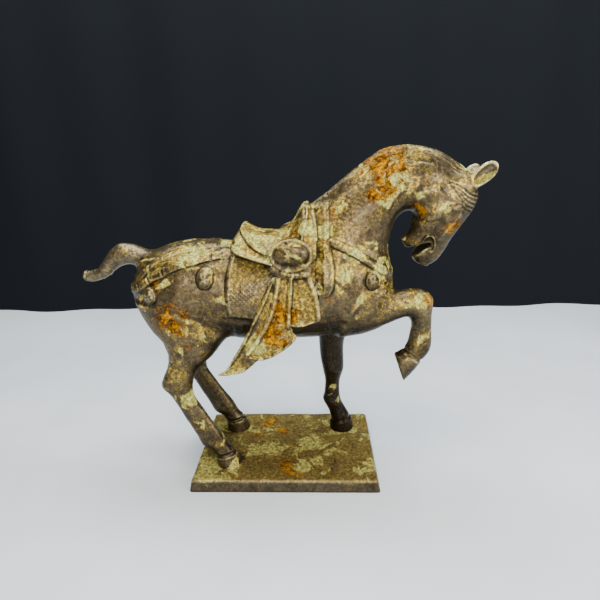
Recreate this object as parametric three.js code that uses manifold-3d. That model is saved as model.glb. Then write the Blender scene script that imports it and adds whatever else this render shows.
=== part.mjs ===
// A bronze horse that prances on a flat plate: near foreleg raised, chin tucked in, tail
// curled, with a saddle, a saddle cloth and a tied cover whose ends hang down on each side.
// It is built as a foundry builds it: separate castings that are brazed together and
// screwed to the plate from below. Millimetres, +Z up. The horse faces +X, its near side
// is -Y, and the origin is the centre of the plate's underside.
import * as THREE from "three";
import { LoftGeometry } from "three/addons/geometries/LoftGeometry.js";
import { mergeVertices } from "three/addons/utils/BufferGeometryUtils.js";
import Module from "manifold-3d";

const wasm = await Module();
wasm.setup();

// ---------------------------------------------------------------- driving dimensions
const PLATE_LENGTH = 165;
const PLATE_DEPTH = 109;
const PLATE_THICKNESS = 11;
const PLATE_DRAFT = 2.2; // how far each side leans in, from bottom to top
const HORSE_LENGTH = 337; // tail tip to ear tip
const HORSE_HEIGHT = 270; // plate top to the top of the mane
const BARREL_WIDTH = 80;
const BRONZE_WALL = 4.5; // the hollow castings' wall
const GAP = 0.3; // brazing gap between two castings

const CLOTH_THICKNESS = 1.6;
const SADDLE_THICKNESS = 3.2; // over the cloth, at the sides
const STRAP_THICKNESS = 1.7;
const RUMP_STRAP_WIDTH = 6.6;
const BREAST_STRAP_WIDTH = 6.2;
const FLAP_THICKNESS = 1.6;
const FLAP_WIDTH = 14;
const FLAP_LENGTH = 41;
const KNOT_RADIUS = 14;
const KNOT_HEIGHT = 9;
const DRAPE_THICKNESS = 5;
const EAR_LENGTH = 26;
const EAR_WIDTH = 15;
const EAR_THICKNESS = 9;
const CORE_HOLE_RADIUS = 7; // where the core was knocked out, under the belly
const PLUG_FLANGE = 2; // how far the plug's head covers the belly round the hole

const SCREW_RADIUS = 2.5;
const SCREW_HEAD_RADIUS = 5;
const SCREW_HEAD_HEIGHT = 3.4;
const SCREW_GRIP = 13; // how far a screw reaches into its hoof

// The horse's outlines are drawn this long, this high above the plate and this wide, and
// then stretched to the sizes above.
const DRAWN_LENGTH = 337;
const DRAWN_HEIGHT = 270;
const DRAWN_WIDTH = 80;
const LONG = HORSE_LENGTH / DRAWN_LENGTH;
const TALL = HORSE_HEIGHT / DRAWN_HEIGHT;
const WIDE = BARREL_WIDTH / DRAWN_WIDTH;
const REACH = 2 * BARREL_WIDTH; // clear of everything, sideways

// ---------------------------------------------------------------- stations
// A station is a cross-section seen from the side: its front or upper point, its back or
// lower point, how far its middle stands from the centre plane, and its half width.
const station = (ax, az, bx, bz, y, half) => ({
  a: new THREE.Vector3(ax * LONG, y * WIDE, az * TALL),
  b: new THREE.Vector3(bx * LONG, y * WIDE, bz * TALL),
  half: half * WIDE,
});

const upright = (x, top, bottom, half) => station(x, top, x, bottom, 0, half);

const BARREL = [
  upright(-127, 162, 156, 3),
  upright(-124.5, 170, 146, 11),
  upright(-119, 178, 134, 19),
  upright(-112, 187, 124, 26),
  upright(-98, 194, 117, 33),
  upright(-80, 198.5, 115, 37),
  upright(-55, 199, 115, 38.5),
  upright(-25, 197, 114, 39.5),
  upright(5, 196, 114, 40),
  upright(35, 199, 115, 39),
  upright(58, 199, 119, 36),
  upright(74, 193, 126, 31),
  upright(85, 182, 136, 22),
  upright(91, 167, 151, 9),
  upright(92.5, 162, 157, 3),
];

const NECK = [
  station(14, 196, 78, 140, 0, 33),
  station(26, 218, 88, 166, 0, 30),
  station(38, 230, 87, 184, 0, 26),
  station(52, 243, 89, 201, 0, 22.5),
  station(69, 255, 93, 213, 0, 20),
  station(86, 262.5, 99, 219, 0, 18.5),
  station(103, 264.5, 105.5, 220, 0, 18),
  station(118, 261.5, 110, 219, 0, 17),
  station(130, 256, 116, 222, 0, 14),
  station(137, 250, 124, 232, 0, 9),
];

const HEAD = [
  station(146, 251, 136, 252, 0, 5),
  station(153, 243, 124, 244, 0, 13.5),
  station(157, 231, 112, 226, 0, 17),
  station(153, 219, 107.5, 214, 0, 17.5),
  station(146, 208, 106, 206, 0, 15.5),
  station(139, 197, 102.5, 201.5, 0, 12.5),
  station(133.5, 186.5, 99, 197, 0, 10.8),
  station(128.5, 179.5, 102, 191, 0, 10.2),
  station(121, 174.5, 110, 179, 0, 7.5),
];

const hindLeg = (side) => [
  station(-46, 150, -120, 150, 19 * side, 17),
  station(-43, 130, -110, 128, 20.5 * side, 17.5),
  station(-50, 116, -101, 119, 22 * side, 15.5),
  station(-60, 104, -96.5, 107, 24 * side, 12.5),
  station(-70, 95, -97.5, 96, 25 * side, 10),
  station(-76, 85, -103, 84, 26 * side, 8.5),
  station(-78, 75, -104, 77, 26 * side, 8),
  station(-77, 66, -96, 65, 26 * side, 7),
  station(-70, 54, -86, 45, 26.5 * side, 6.5),
  station(-63, 42, -79, 31, 27 * side, 6.5),
  station(-55, 29, -74, 20, 27.5 * side, 7.5),
  station(-49, 20, -68, 15, 28 * side, 8),
  station(-44.5, 12, -64, 8.5, 27.5 * side, 7.6),
  station(-42, 5, -62, 4, 27.5 * side, 8),
  station(-41.5, 0, -61, 0, 27.5 * side, 8.4),
];

const STANDING_FORELEG = [
  station(76, 140, 26, 138, 22, 15),
  station(64, 119, 28, 117, 24.5, 12.5),
  station(55.5, 99, 31, 99, 26.5, 10.5),
  station(54.5, 79, 32.5, 79, 27, 9),
  station(54.5, 66, 35, 65, 27.5, 8.5),
  station(51.5, 53, 37, 52, 28, 6.5),
  station(51, 40, 36, 39, 28, 6.5),
  station(52.5, 31, 35, 32, 28, 7.8),
  station(56, 24, 40, 22, 28, 7),
  station(60.5, 16, 42, 13, 28, 7.8),
  station(63.5, 8, 42, 6.5, 28, 8.4),
  station(63.5, 0, 43, 0, 28, 8.8),
];

const RAISED_FORELEG = [
  station(68, 168, 48, 119, -17, 16),
  station(81, 162, 70, 124, -20.5, 14),
  station(91, 159.5, 86, 132, -22.5, 11.5),
  station(102, 161, 98, 137.5, -23, 10),
  station(113, 160.5, 103, 137.5, -23, 9.8),
  station(121.5, 152, 105.5, 134, -23, 9),
  station(122, 138, 106, 130, -23, 8),
  station(122.5, 126, 105.5, 125, -23, 7.5),
  station(123, 115, 103.5, 115, -23, 8),
  station(121.5, 107, 99.5, 108.5, -23, 8),
  station(116.5, 100, 96, 105.5, -23, 8.6),
  station(109.5, 90, 95, 105, -23, 9.4),
  station(102, 81, 95, 103, -23, 9.4),
];

const TAIL = [
  station(-100, 186, -112, 170, 0, 9),
  station(-114, 192, -121, 177, 0, 8.5),
  station(-124, 196, -127, 179, 0, 8.5),
  station(-135, 196.5, -133.5, 178, 0, 8.5),
  station(-144, 190, -140, 175, 0, 8),
  station(-150, 183, -145.5, 169.5, 0, 7.5),
  station(-156, 176.5, -152.5, 165.5, 0, 6.6),
  station(-163, 173.5, -161, 164, 0, 5.6),
  station(-169.5, 171, -168, 167, 0, 2.6),
];

const MANE = [
  station(24, 226, 32, 214, 0, 3),
  station(41, 238, 49, 229, 0, 4.2),
  station(61, 253.5, 67, 245, 0, 4.6),
  station(79, 266, 83, 256, 0, 4.8),
  station(99, 270, 99, 260, 0, 4.8),
  station(119, 267, 115, 257, 0, 4.6),
  station(132, 260.5, 127, 251, 0, 4),
  station(143, 253, 137, 246, 0, 2.6),
];

const SADDLE_BASE = 165; // the height that the saddle's arched sections are struck from
const arch = (x, top) => station(x, top, x, 2 * SADDLE_BASE - top, 0, DRAWN_WIDTH / 2);
const SADDLE = [
  arch(-37, 196),
  arch(-31, 206),
  arch(-18, 203.5),
  arch(-4, 201),
  arch(5, 203.5),
  arch(12, 210.5),
  arch(19, 222),
  arch(24, 221),
  arch(29, 216),
];

// ---------------------------------------------------------------- shape helpers
// The stations of a limb joined by smooth curves, and the sections read off between them.
function sectionsAlong(stations, perSpan) {
  const smooth = (points) => new THREE.CatmullRomCurve3(points, false, "catmullrom", 0.5);
  const front = smooth(stations.map((s) => s.a));
  const back = smooth(stations.map((s) => s.b));
  const half = smooth(stations.map((s) => new THREE.Vector3(s.half, 0, 0)));
  const count = (stations.length - 1) * perSpan;
  return Array.from({ length: count + 1 }, (_, i) => ({
    a: front.getPoint(i / count),
    b: back.getPoint(i / count),
    half: half.getPoint(i / count).x,
  }));
}

// One section's ring of points, an ellipse made `grow` larger all round. `turn` is 1 or -1,
// the way round that the points run.
function ring(section, points, grow, turn) {
  const middle = section.a.clone().add(section.b).multiplyScalar(0.5);
  const radius = section.a.distanceTo(section.b) / 2;
  const along = section.a.clone().sub(section.b).normalize();
  const side = new THREE.Vector3(0, turn, 0);
  return Array.from({ length: points }, (_, i) => {
    const angle = (2 * Math.PI * i) / points;
    return middle
      .clone()
      .addScaledVector(along, (radius + grow) * Math.cos(angle))
      .addScaledVector(side, (section.half + grow) * Math.sin(angle));
  });
}

// A geometry as a manifold-3d solid, turned to face outwards.
function solidOf(geometry) {
  const bare = new THREE.BufferGeometry();
  bare.setAttribute("position", geometry.attributes.position).setIndex(geometry.index);
  const merged = mergeVertices(bare, 1e-4);
  const triangles = [];
  const index = merged.index.array;
  for (let i = 0; i < index.length; i += 3) {
    const [p, q, r] = index.slice(i, i + 3);
    if (p !== q && q !== r && r !== p) triangles.push([p, q, r]);
  }
  const make = (faces) =>
    new wasm.Manifold(
      new wasm.Mesh({
        numProp: 3,
        vertProperties: merged.attributes.position.array,
        triVerts: Uint32Array.from(faces.flat()),
      }),
    );
  const solid = make(triangles);
  return solid.volume() > 0 ? solid : make(triangles.map(([p, q, r]) => [p, r, q]));
}

function geometryOf(solid) {
  const mesh = solid.getMesh();
  return new THREE.BufferGeometry()
    .setAttribute("position", new THREE.BufferAttribute(mesh.vertProperties, 3))
    .setIndex(new THREE.BufferAttribute(mesh.triVerts, 1));
}

function loft(stations, points, grow = 0, perSpan = 2) {
  const sections = sectionsAlong(stations, perSpan);
  const [first, second] = sections;
  const travel = second.a.clone().add(second.b).sub(first.a).sub(first.b);
  const facing = first.a.clone().sub(first.b).cross(new THREE.Vector3(0, 1, 0));
  const rings = sections.map((s) => ring(s, points, grow, Math.sign(facing.dot(travel))));
  return solidOf(new LoftGeometry(rings, { capStart: true, capEnd: true }));
}

// A side-view outline, extruded across the horse between two distances from its centre plane.
function sideCut(outline, from = -REACH, to = REACH) {
  const depth = to - from;
  const options = { depth, bevelEnabled: false, curveSegments: 6 };
  const geometry = new THREE.ExtrudeGeometry(outline, options);
  return solidOf(geometry.rotateX(Math.PI / 2).translate(0, to, 0));
}

const drawn = (points) => points.map(([x, z]) => new THREE.Vector2(x * LONG, z * TALL));

// A band of even width along a smooth side-view line, `extra` wider on each edge.
function bandOutline(points, width, extra = 0) {
  const line = new THREE.SplineCurve(drawn(points));
  const count = 3 * (points.length - 1);
  const edge = (sign) =>
    Array.from({ length: count + 1 }, (_, i) => {
      const tangent = line.getTangent(i / count);
      const normal = new THREE.Vector2(-tangent.y, tangent.x);
      return line.getPoint(i / count).addScaledVector(normal, sign * (width / 2 + extra));
    });
  return new THREE.Shape([...edge(1), ...edge(-1).reverse()]);
}

// A drawn place on the barrel's side: the point there and the way the surface faces.
function flank(x, z, side) {
  const [px, pz] = [x * LONG, z * TALL];
  const sections = sectionsAlong(BARREL, 12);
  const outside = (qx, qy, qz) => {
    const next = Math.max(1, sections.findIndex((s) => s.a.x > qx));
    const [s, t] = [sections[next - 1], sections[next]];
    const share = (qx - s.a.x) / (t.a.x - s.a.x);
    const mix = (p, q) => p + (q - p) * share;
    const [top, bottom, half] = [mix(s.a.z, t.a.z), mix(s.b.z, t.b.z), mix(s.half, t.half)];
    const height = (qz - (top + bottom) / 2) / ((top - bottom) / 2);
    return { value: (qy / half) ** 2 + height ** 2, half, height };
  };
  const here = outside(px, 0, pz);
  const y = here.half * Math.sqrt(Math.max(0, 1 - here.height ** 2)) * side;
  const step = 0.5;
  const slope = (dx, dy, dz) =>
    outside(px + dx, y + dy, pz + dz).value - outside(px - dx, y - dy, pz - dz).value;
  const normal = new THREE.Vector3(slope(step, 0, 0), slope(0, step, 0), slope(0, 0, step));
  return { point: new THREE.Vector3(px, y, pz), normal: normal.normalize() };
}

// Turns a geometry whose axis is +Y to point along `normal`, with its Z as near to up as can be.
function faceAlong(geometry, point, normal) {
  const up = new THREE.Vector3(0, 0, 1);
  const across = new THREE.Vector3().crossVectors(normal, up).normalize();
  const lift = new THREE.Vector3().crossVectors(across, normal);
  const matrix = new THREE.Matrix4().makeBasis(across, normal, lift).setPosition(point);
  return geometry.applyMatrix4(matrix);
}

// ---------------------------------------------------------------- the horse's own castings
const BARREL_POINTS = 24;
const NECK_POINTS = 20;
const LEG_POINTS = 12;
const CORE_POINTS = 14;

const limbs = (grow) => [
  loft(BARREL, BARREL_POINTS, grow),
  loft(NECK, NECK_POINTS, grow),
  loft(RAISED_FORELEG, LEG_POINTS, grow),
  loft(STANDING_FORELEG, LEG_POINTS, grow),
  loft(hindLeg(-1), LEG_POINTS, grow),
  loft(hindLeg(1), LEG_POINTS, grow),
];

// The whole horse's outer shape made larger by `grow`, for what lies on it.
function body(grow) {
  const [first, ...rest] = limbs(grow);
  return rest.reduce((sum, limb) => sum.add(limb), first);
}

const skin = body(GAP);
const barrelGrown = loft(BARREL, BARREL_POINTS, GAP);
const neckGrown = loft(NECK, NECK_POINTS, GAP);
const headGrown = loft(HEAD, NECK_POINTS, GAP);
const maneGrown = loft(MANE, 8, GAP);

function barrelCasting() {
  const bellyX = -10 * LONG;
  const hollow = loft(BARREL.slice(1, -1), CORE_POINTS, -BRONZE_WALL, 1);
  const hole = solidOf(
    new THREE.CylinderGeometry(CORE_HOLE_RADIUS, CORE_HOLE_RADIUS, 60, 24)
      .rotateX(Math.PI / 2)
      .translate(bellyX, 0, 115 * TALL),
  );
  return loft(BARREL, BARREL_POINTS).subtract(hollow).subtract(hole);
}

// A round plug that fills the core hole, with a thin head against the belly.
function corePlug() {
  const shank = CORE_HOLE_RADIUS - GAP;
  const head = CORE_HOLE_RADIUS + PLUG_FLANGE;
  const profile = [
    [0, -3],
    [head, -3],
    [head, 2],
    [shank, 2],
    [shank, 9],
    [0, 9],
  ].map(([r, z]) => new THREE.Vector2(r, z));
  const belly = 114 * TALL;
  const plug = solidOf(
    new THREE.LatheGeometry(profile, 24).rotateX(Math.PI / 2).translate(-10 * LONG, 0, belly),
  );
  const bore = solidOf(
    new THREE.CylinderGeometry(shank, shank, 60, 24)
      .rotateX(Math.PI / 2)
      .translate(-10 * LONG, 0, belly),
  );
  return plug.subtract(barrelGrown.subtract(bore));
}

function neckCasting() {
  const hollow = loft(NECK.slice(0, -2), CORE_POINTS, -BRONZE_WALL, 1);
  return loft(NECK, NECK_POINTS).subtract(hollow).subtract(barrelGrown);
}

// The open mouth, a wedge that runs up from between the lips.
const MOUTH = drawn([
  [96, 182],
  [104, 185],
  [112, 187],
  [119, 186],
  [113, 183],
  [104, 178],
]);

function headCasting() {
  const mouth = sideCut(new THREE.Shape(MOUTH));
  return loft(HEAD, NECK_POINTS).subtract(neckGrown).subtract(mouth);
}

// A leaf-shaped cup that opens outwards and forwards, its middle at a drawn place.
function ear(side, x, z) {
  const cup = (length, width, thick) =>
    new THREE.SphereGeometry(1, 14, 8).scale(length / 2, thick / 2, width / 2);
  const hollow = cup(EAR_LENGTH * 0.78, EAR_WIDTH * 0.62, EAR_THICKNESS);
  hollow.translate(1, EAR_THICKNESS * 0.36, 0);
  const leaf = solidOf(cup(EAR_LENGTH, EAR_WIDTH, EAR_THICKNESS)).subtract(solidOf(hollow));
  const lean = new THREE.Matrix4()
    .makeTranslation(x * LONG, 9.5 * WIDE * side, z * TALL)
    .multiply(new THREE.Matrix4().makeRotationZ(0.2 * side))
    .multiply(new THREE.Matrix4().makeRotationY(-0.82))
    .multiply(new THREE.Matrix4().makeScale(1, side, 1));
  return solidOf(geometryOf(leaf).applyMatrix4(lean)).subtract(headGrown).subtract(neckGrown);
}

const mane = () => loft(MANE, 8).subtract(neckGrown).subtract(headGrown);
const tail = () => loft(TAIL, 12).subtract(barrelGrown);

const raisedLeg = () => loft(RAISED_FORELEG, LEG_POINTS).subtract(barrelGrown).subtract(neckGrown);

function hoofCentre(stations) {
  const sole = stations.at(-1);
  return sole.a.clone().add(sole.b).multiplyScalar(0.5);
}

// A leg that stands on the plate, cut free of it and drilled for its screw.
function standingLeg(stations) {
  const hoof = hoofCentre(stations);
  const drill = SCREW_RADIUS + GAP;
  const hole = solidOf(
    new THREE.CylinderGeometry(drill, drill, 2 * (SCREW_GRIP + GAP), 16)
      .rotateX(Math.PI / 2)
      .translate(hoof.x, hoof.y, 0),
  );
  const ground = solidOf(new THREE.BoxGeometry(400, 400, 10).translate(0, 0, GAP - 5));
  return loft(stations, LEG_POINTS).subtract(barrelGrown).subtract(ground).subtract(hole);
}

// ---------------------------------------------------------------- the tack
// A piece that lies on the horse: a layer some way off its skin, within an outline.
function layer(from, thickness, outline, sideFrom, sideTo) {
  return body(from + thickness)
    .intersect(sideCut(outline, sideFrom, sideTo))
    .subtract(body(from));
}

const ON_SKIN = GAP;
const ON_CLOTH = ON_SKIN + CLOTH_THICKNESS + GAP;
const CLOTH_FRONT = 43;
const CLOTH_REAR = -40;
const clothOutline = (extra) =>
  new THREE.Shape(
    drawn([
      [CLOTH_REAR - extra, 240],
      [CLOTH_REAR - extra, 141],
      [CLOTH_FRONT + extra, 139],
      [CLOTH_FRONT + extra, 201],
      [26 + extra, 218],
      [26 + extra, 240],
    ]),
  );
const saddleCloth = () => layer(ON_SKIN, CLOTH_THICKNESS, clothOutline(0)).subtract(maneGrown);

// The saddle: an arch over the back that rises to a cantle behind and a pommel in front.
const SADDLE_EDGE = drawn([
  [-36, 260],
  [-36, 199],
  [-4, 186],
  [14, 182],
  [29, 189],
  [29, 260],
]);
const saddleArch = (grow) =>
  loft(SADDLE, BARREL_POINTS, ON_CLOTH + SADDLE_THICKNESS + grow).intersect(
    sideCut(new THREE.Shape(SADDLE_EDGE)),
  );
const clothTop = body(ON_CLOTH);
const saddle = () => saddleArch(0).subtract(clothTop).subtract(maneGrown);

// The bundle where the saddle cover is tied, a rimmed disc that faces up and out.
const KNOT_X = 10;
const KNOT_Z = 193;
function knot(side, grow = 0) {
  const [r, h] = [KNOT_RADIUS + grow, KNOT_HEIGHT + grow];
  const profile = [
    [0, -h],
    [r * 0.62, -h],
    [r * 0.66, -h * 0.3],
    [r, h * 0.05],
    [r, h * 0.45],
    [r * 0.8, h * 0.62],
    [r * 0.45, h * 0.9],
    [0, h],
  ].map(([x, y]) => new THREE.Vector2(x, y));
  const place = new THREE.Vector3(KNOT_X * LONG, side * (BARREL_WIDTH / 2 + 2), KNOT_Z * TALL);
  const facing = new THREE.Vector3(0, 0.8 * side, 0.6);
  return solidOf(faceAlong(new THREE.LatheGeometry(profile, 20), place, facing));
}
const tiedKnot = (side) => knot(side).subtract(saddleArch(GAP)).subtract(clothTop);

// The cover's two loose ends below the knot, gathered at the top and swept back.
const DRAPE = drawn([
  [0, 186],
  [-3, 178],
  [-11, 161],
  [-17, 148],
  [-25, 132],
  [-36, 115],
  [-48, 101],
  [-54, 96],
  [-49, 94],
  [-37, 95],
  [-28, 99],
  [-21, 105],
  [-6, 110],
  [3, 116],
  [12, 123],
  [13, 128],
  [9, 131],
  [8, 137],
  [15, 137],
  [26, 139],
  [31, 142],
  [32, 160],
  [29, 173],
  [24, 186],
]);
function drape(side) {
  const near = BARREL_WIDTH / 2 + ON_CLOTH + GAP;
  const far = near + DRAPE_THICKNESS;
  const sheet = side > 0 ? [near, far] : [-far, -near];
  return sideCut(new THREE.Shape(DRAPE), ...sheet)
    .subtract(knot(side, GAP))
    .subtract(saddleArch(GAP));
}

// The space the drape takes, with a gap on its front edge.
function drapeRoom(side) {
  const near = BARREL_WIDTH / 2 + ON_CLOTH;
  const far = near + DRAPE_THICKNESS + 2 * GAP;
  const edge = DRAPE.map((p) => new THREE.Vector2(p.x + 2 * GAP, p.y));
  return sideCut(new THREE.Shape(edge), ...(side > 0 ? [near, far] : [-far, -near]));
}

// The stirrup flap that hangs in front of the knot, round at its top.
const FLAP_X = 36.5;
const FLAP_TOP = 201;
function flap(side) {
  const shape = new THREE.Shape();
  const [left, right] = [FLAP_X * LONG - FLAP_WIDTH / 2, FLAP_X * LONG + FLAP_WIDTH / 2];
  const top = FLAP_TOP * TALL - FLAP_WIDTH / 2;
  shape.moveTo(left, FLAP_TOP * TALL - FLAP_LENGTH);
  shape.lineTo(right, FLAP_TOP * TALL - FLAP_LENGTH);
  shape.lineTo(right, top);
  shape.absarc(FLAP_X * LONG, top, FLAP_WIDTH / 2, 0, Math.PI);
  const sides = side > 0 ? [GAP, REACH] : [-REACH, -GAP];
  return layer(ON_CLOTH, FLAP_THICKNESS, shape, ...sides)
    .subtract(saddleArch(GAP))
    .subtract(knot(side, GAP))
    .subtract(drapeRoom(side));
}

const RUMP_LINE = [
  [CLOTH_REAR - 2.2, 191.5],
  [-52, 190.5],
  [-65, 187.5],
  [-80, 184],
  [-93, 178],
  [-101, 174.5],
  [-110, 168],
  [-130, 159],
];
const BREAST_LINE = [
  [CLOTH_FRONT + 0.6, 198.5],
  [52, 195.5],
  [60, 191.5],
  [69, 185.5],
  [82, 177],
  [100, 170],
];
const strap = (line, width) =>
  layer(ON_SKIN, STRAP_THICKNESS, bandOutline(line, width)).subtract(sideCut(clothOutline(GAP)));
const strapRoom = (line, width) => sideCut(bandOutline(line, width, GAP));

// A domed pendant with a rim, `across` wide and `down` high, on the horse's side.
const BOSSES = {
  rump_boss_front: { x: -57, z: 175, across: 14, down: 18, height: 4.5 },
  rump_boss_rear: { x: -103, z: 160.5, across: 12, down: 12.5, height: 4.5 },
  breast_boss: { x: 72, z: 170, across: 11, down: 15, height: 5 },
};
function boss({ x, z, across, down, height }, side) {
  const profile = [
    [0, -4],
    [1, -4],
    [1, height * 0.35],
    [0.82, height * 0.45],
    [0.7, height * 0.4],
    [0.45, height * 0.85],
    [0, height],
  ].map(([r, y]) => new THREE.Vector2(r, y));
  const dome = new THREE.LatheGeometry(profile, 16).scale(across / 2, 1, down / 2);
  const { point, normal } = flank(x, z, side);
  return solidOf(faceAlong(dome, point, normal))
    .subtract(skin)
    .subtract(strapRoom(RUMP_LINE, RUMP_STRAP_WIDTH))
    .subtract(strapRoom(BREAST_LINE, BREAST_STRAP_WIDTH));
}

// ---------------------------------------------------------------- plate and screws
const SCREWED = { near_hind: hindLeg(-1), far_hind: hindLeg(1), far_fore: STANDING_FORELEG };

function basePlate() {
  const level = (inset, z) => {
    const [x, y] = [PLATE_LENGTH / 2 - inset, PLATE_DEPTH / 2 - inset];
    return [
      [-x, -y],
      [x, -y],
      [x, y],
      [-x, y],
    ].map(([px, py]) => new THREE.Vector3(px, py, z));
  };
  const slab = solidOf(
    new LoftGeometry([level(0, 0), level(PLATE_DRAFT, PLATE_THICKNESS)], {
      capStart: true,
      capEnd: true,
    }),
  );
  return Object.values(SCREWED).reduce((plate, leg) => plate.subtract(screw(leg, GAP)), slab);
}

// A countersunk screw, from just inside the plate's underside up into a hoof.
function screw(leg, grow = 0) {
  const recess = 1;
  const start = grow > 0 ? -1 : recess;
  const neck = recess + SCREW_HEAD_HEIGHT;
  const profile = [
    [0, start],
    [SCREW_HEAD_RADIUS + grow, start],
    [SCREW_HEAD_RADIUS + grow, recess],
    [SCREW_RADIUS + grow, neck + grow],
    [SCREW_RADIUS + grow, PLATE_THICKNESS + SCREW_GRIP + grow],
    [0, PLATE_THICKNESS + SCREW_GRIP + grow],
  ].map(([r, z]) => new THREE.Vector2(r, z));
  const hoof = hoofCentre(leg);
  const turned = new THREE.LatheGeometry(profile, 16).rotateX(Math.PI / 2);
  return solidOf(turned.translate(hoof.x, hoof.y, 0));
}

// ---------------------------------------------------------------- assembly
const bronze = (color, roughness) =>
  new THREE.MeshStandardMaterial({ color, roughness, metalness: 0.75 });
const BODY_BRONZE = bronze(0x6e6038, 0.55);
const TACK_BRONZE = bronze(0x8c7c47, 0.6);
const PLATE_BRONZE = bronze(0x5d5230, 0.5);
const SCREW_STEEL = new THREE.MeshStandardMaterial({ color: 0x8a8a88, roughness: 0.35, metalness: 1 });

function piece(name, solid, material) {
  const mesh = new THREE.Mesh(geometryOf(solid), material);
  mesh.name = name;
  return mesh;
}

const horse = new THREE.Group();
horse.position.z = PLATE_THICKNESS;
horse.add(piece("barrel", barrelCasting(), BODY_BRONZE));
horse.add(piece("core_plug", corePlug(), BODY_BRONZE));
horse.add(piece("neck", neckCasting(), BODY_BRONZE));
horse.add(piece("head", headCasting(), BODY_BRONZE));
horse.add(piece("mane", mane(), BODY_BRONZE));
horse.add(piece("tail", tail(), BODY_BRONZE));
horse.add(piece("foreleg_near_raised", raisedLeg(), BODY_BRONZE));
horse.add(piece("foreleg_far", standingLeg(STANDING_FORELEG), BODY_BRONZE));
horse.add(piece("hindleg_near", standingLeg(SCREWED.near_hind), BODY_BRONZE));
horse.add(piece("hindleg_far", standingLeg(SCREWED.far_hind), BODY_BRONZE));
horse.add(piece("saddle_cloth", saddleCloth(), TACK_BRONZE));
horse.add(piece("saddle", saddle(), TACK_BRONZE));
horse.add(piece("rump_strap", strap(RUMP_LINE, RUMP_STRAP_WIDTH), TACK_BRONZE));
horse.add(piece("breast_strap", strap(BREAST_LINE, BREAST_STRAP_WIDTH), TACK_BRONZE));

horse.add(piece("ear_near", ear(-1, 157, 246.5), BODY_BRONZE));
horse.add(piece("ear_far", ear(1, 151, 244), BODY_BRONZE));

for (const [word, side] of [["near", -1], ["far", 1]]) {
  horse.add(piece(`cover_knot_${word}`, tiedKnot(side), TACK_BRONZE));
  horse.add(piece(`cover_drape_${word}`, drape(side), TACK_BRONZE));
  horse.add(piece(`stirrup_flap_${word}`, flap(side), TACK_BRONZE));
  for (const [name, sizes] of Object.entries(BOSSES))
    horse.add(piece(`${name}_${word}`, boss(sizes, side), TACK_BRONZE));
}

const statue = new THREE.Group();
statue.add(piece("base_plate", basePlate(), PLATE_BRONZE), horse);
for (const [name, leg] of Object.entries(SCREWED))
  statue.add(piece(`hoof_screw_${name}`, screw(leg), SCREW_STEEL));

export default statue;
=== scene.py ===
# %% [markdown]
# # A cast bronze horse
# The real object is one lost-wax casting: trunk, legs, neck, saddle and straps were all
# modelled in wax, joined, and poured together, so every part melts softly into the next.
# Separate lofted limbs would show hard creases where they meet. This script therefore lofts
# each limb with numpy, turns the lofts into distance fields on one grid, and melts those
# fields together, the way the wax was smoothed by hand. The straps, saddle and cover are
# laid on the same field. The finished skin is cut into the named pieces at the end.

import math

import bpy
import numpy as np
import openvdb as vdb
from mathutils import Matrix, Vector


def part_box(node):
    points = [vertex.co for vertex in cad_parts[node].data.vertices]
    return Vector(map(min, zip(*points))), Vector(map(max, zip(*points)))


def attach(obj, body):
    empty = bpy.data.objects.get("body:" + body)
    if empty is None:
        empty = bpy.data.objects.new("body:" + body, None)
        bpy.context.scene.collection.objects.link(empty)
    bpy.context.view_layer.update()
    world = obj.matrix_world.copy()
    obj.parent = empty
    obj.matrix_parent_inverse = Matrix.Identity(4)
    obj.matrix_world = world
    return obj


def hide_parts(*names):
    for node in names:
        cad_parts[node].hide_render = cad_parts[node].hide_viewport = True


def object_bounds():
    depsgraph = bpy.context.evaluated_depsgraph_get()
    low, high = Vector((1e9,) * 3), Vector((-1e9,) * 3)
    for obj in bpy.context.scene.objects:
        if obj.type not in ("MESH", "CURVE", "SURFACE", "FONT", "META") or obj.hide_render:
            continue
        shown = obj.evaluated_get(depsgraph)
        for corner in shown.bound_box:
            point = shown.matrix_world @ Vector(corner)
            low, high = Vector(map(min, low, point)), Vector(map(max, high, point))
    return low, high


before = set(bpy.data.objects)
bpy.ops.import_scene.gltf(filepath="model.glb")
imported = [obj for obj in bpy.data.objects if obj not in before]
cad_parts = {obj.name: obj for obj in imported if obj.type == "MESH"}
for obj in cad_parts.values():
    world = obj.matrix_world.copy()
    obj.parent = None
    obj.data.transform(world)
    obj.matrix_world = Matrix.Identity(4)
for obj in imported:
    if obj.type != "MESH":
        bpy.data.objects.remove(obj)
bpy.context.view_layer.update()
CAD_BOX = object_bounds()
LOW, HIGH = (np.array(corner, float) * 1000 for corner in CAD_BOX)
PLATE_LOW, PLATE_HIGH = (np.array(corner, float) * 1000 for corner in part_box("base_plate"))
PLATE_TOP = PLATE_HIGH[2]
print("object box in mm:", LOW.round(1), HIGH.round(1))

# %% [markdown]
# ## The camera
# The camera stands a little above the horse's back and looks slightly down, as someone
# who leans over a table would. Three angles turn it. The axes they give are worked out in
# full, because that shows what each angle does, and the sign of each is easy to check.

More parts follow.
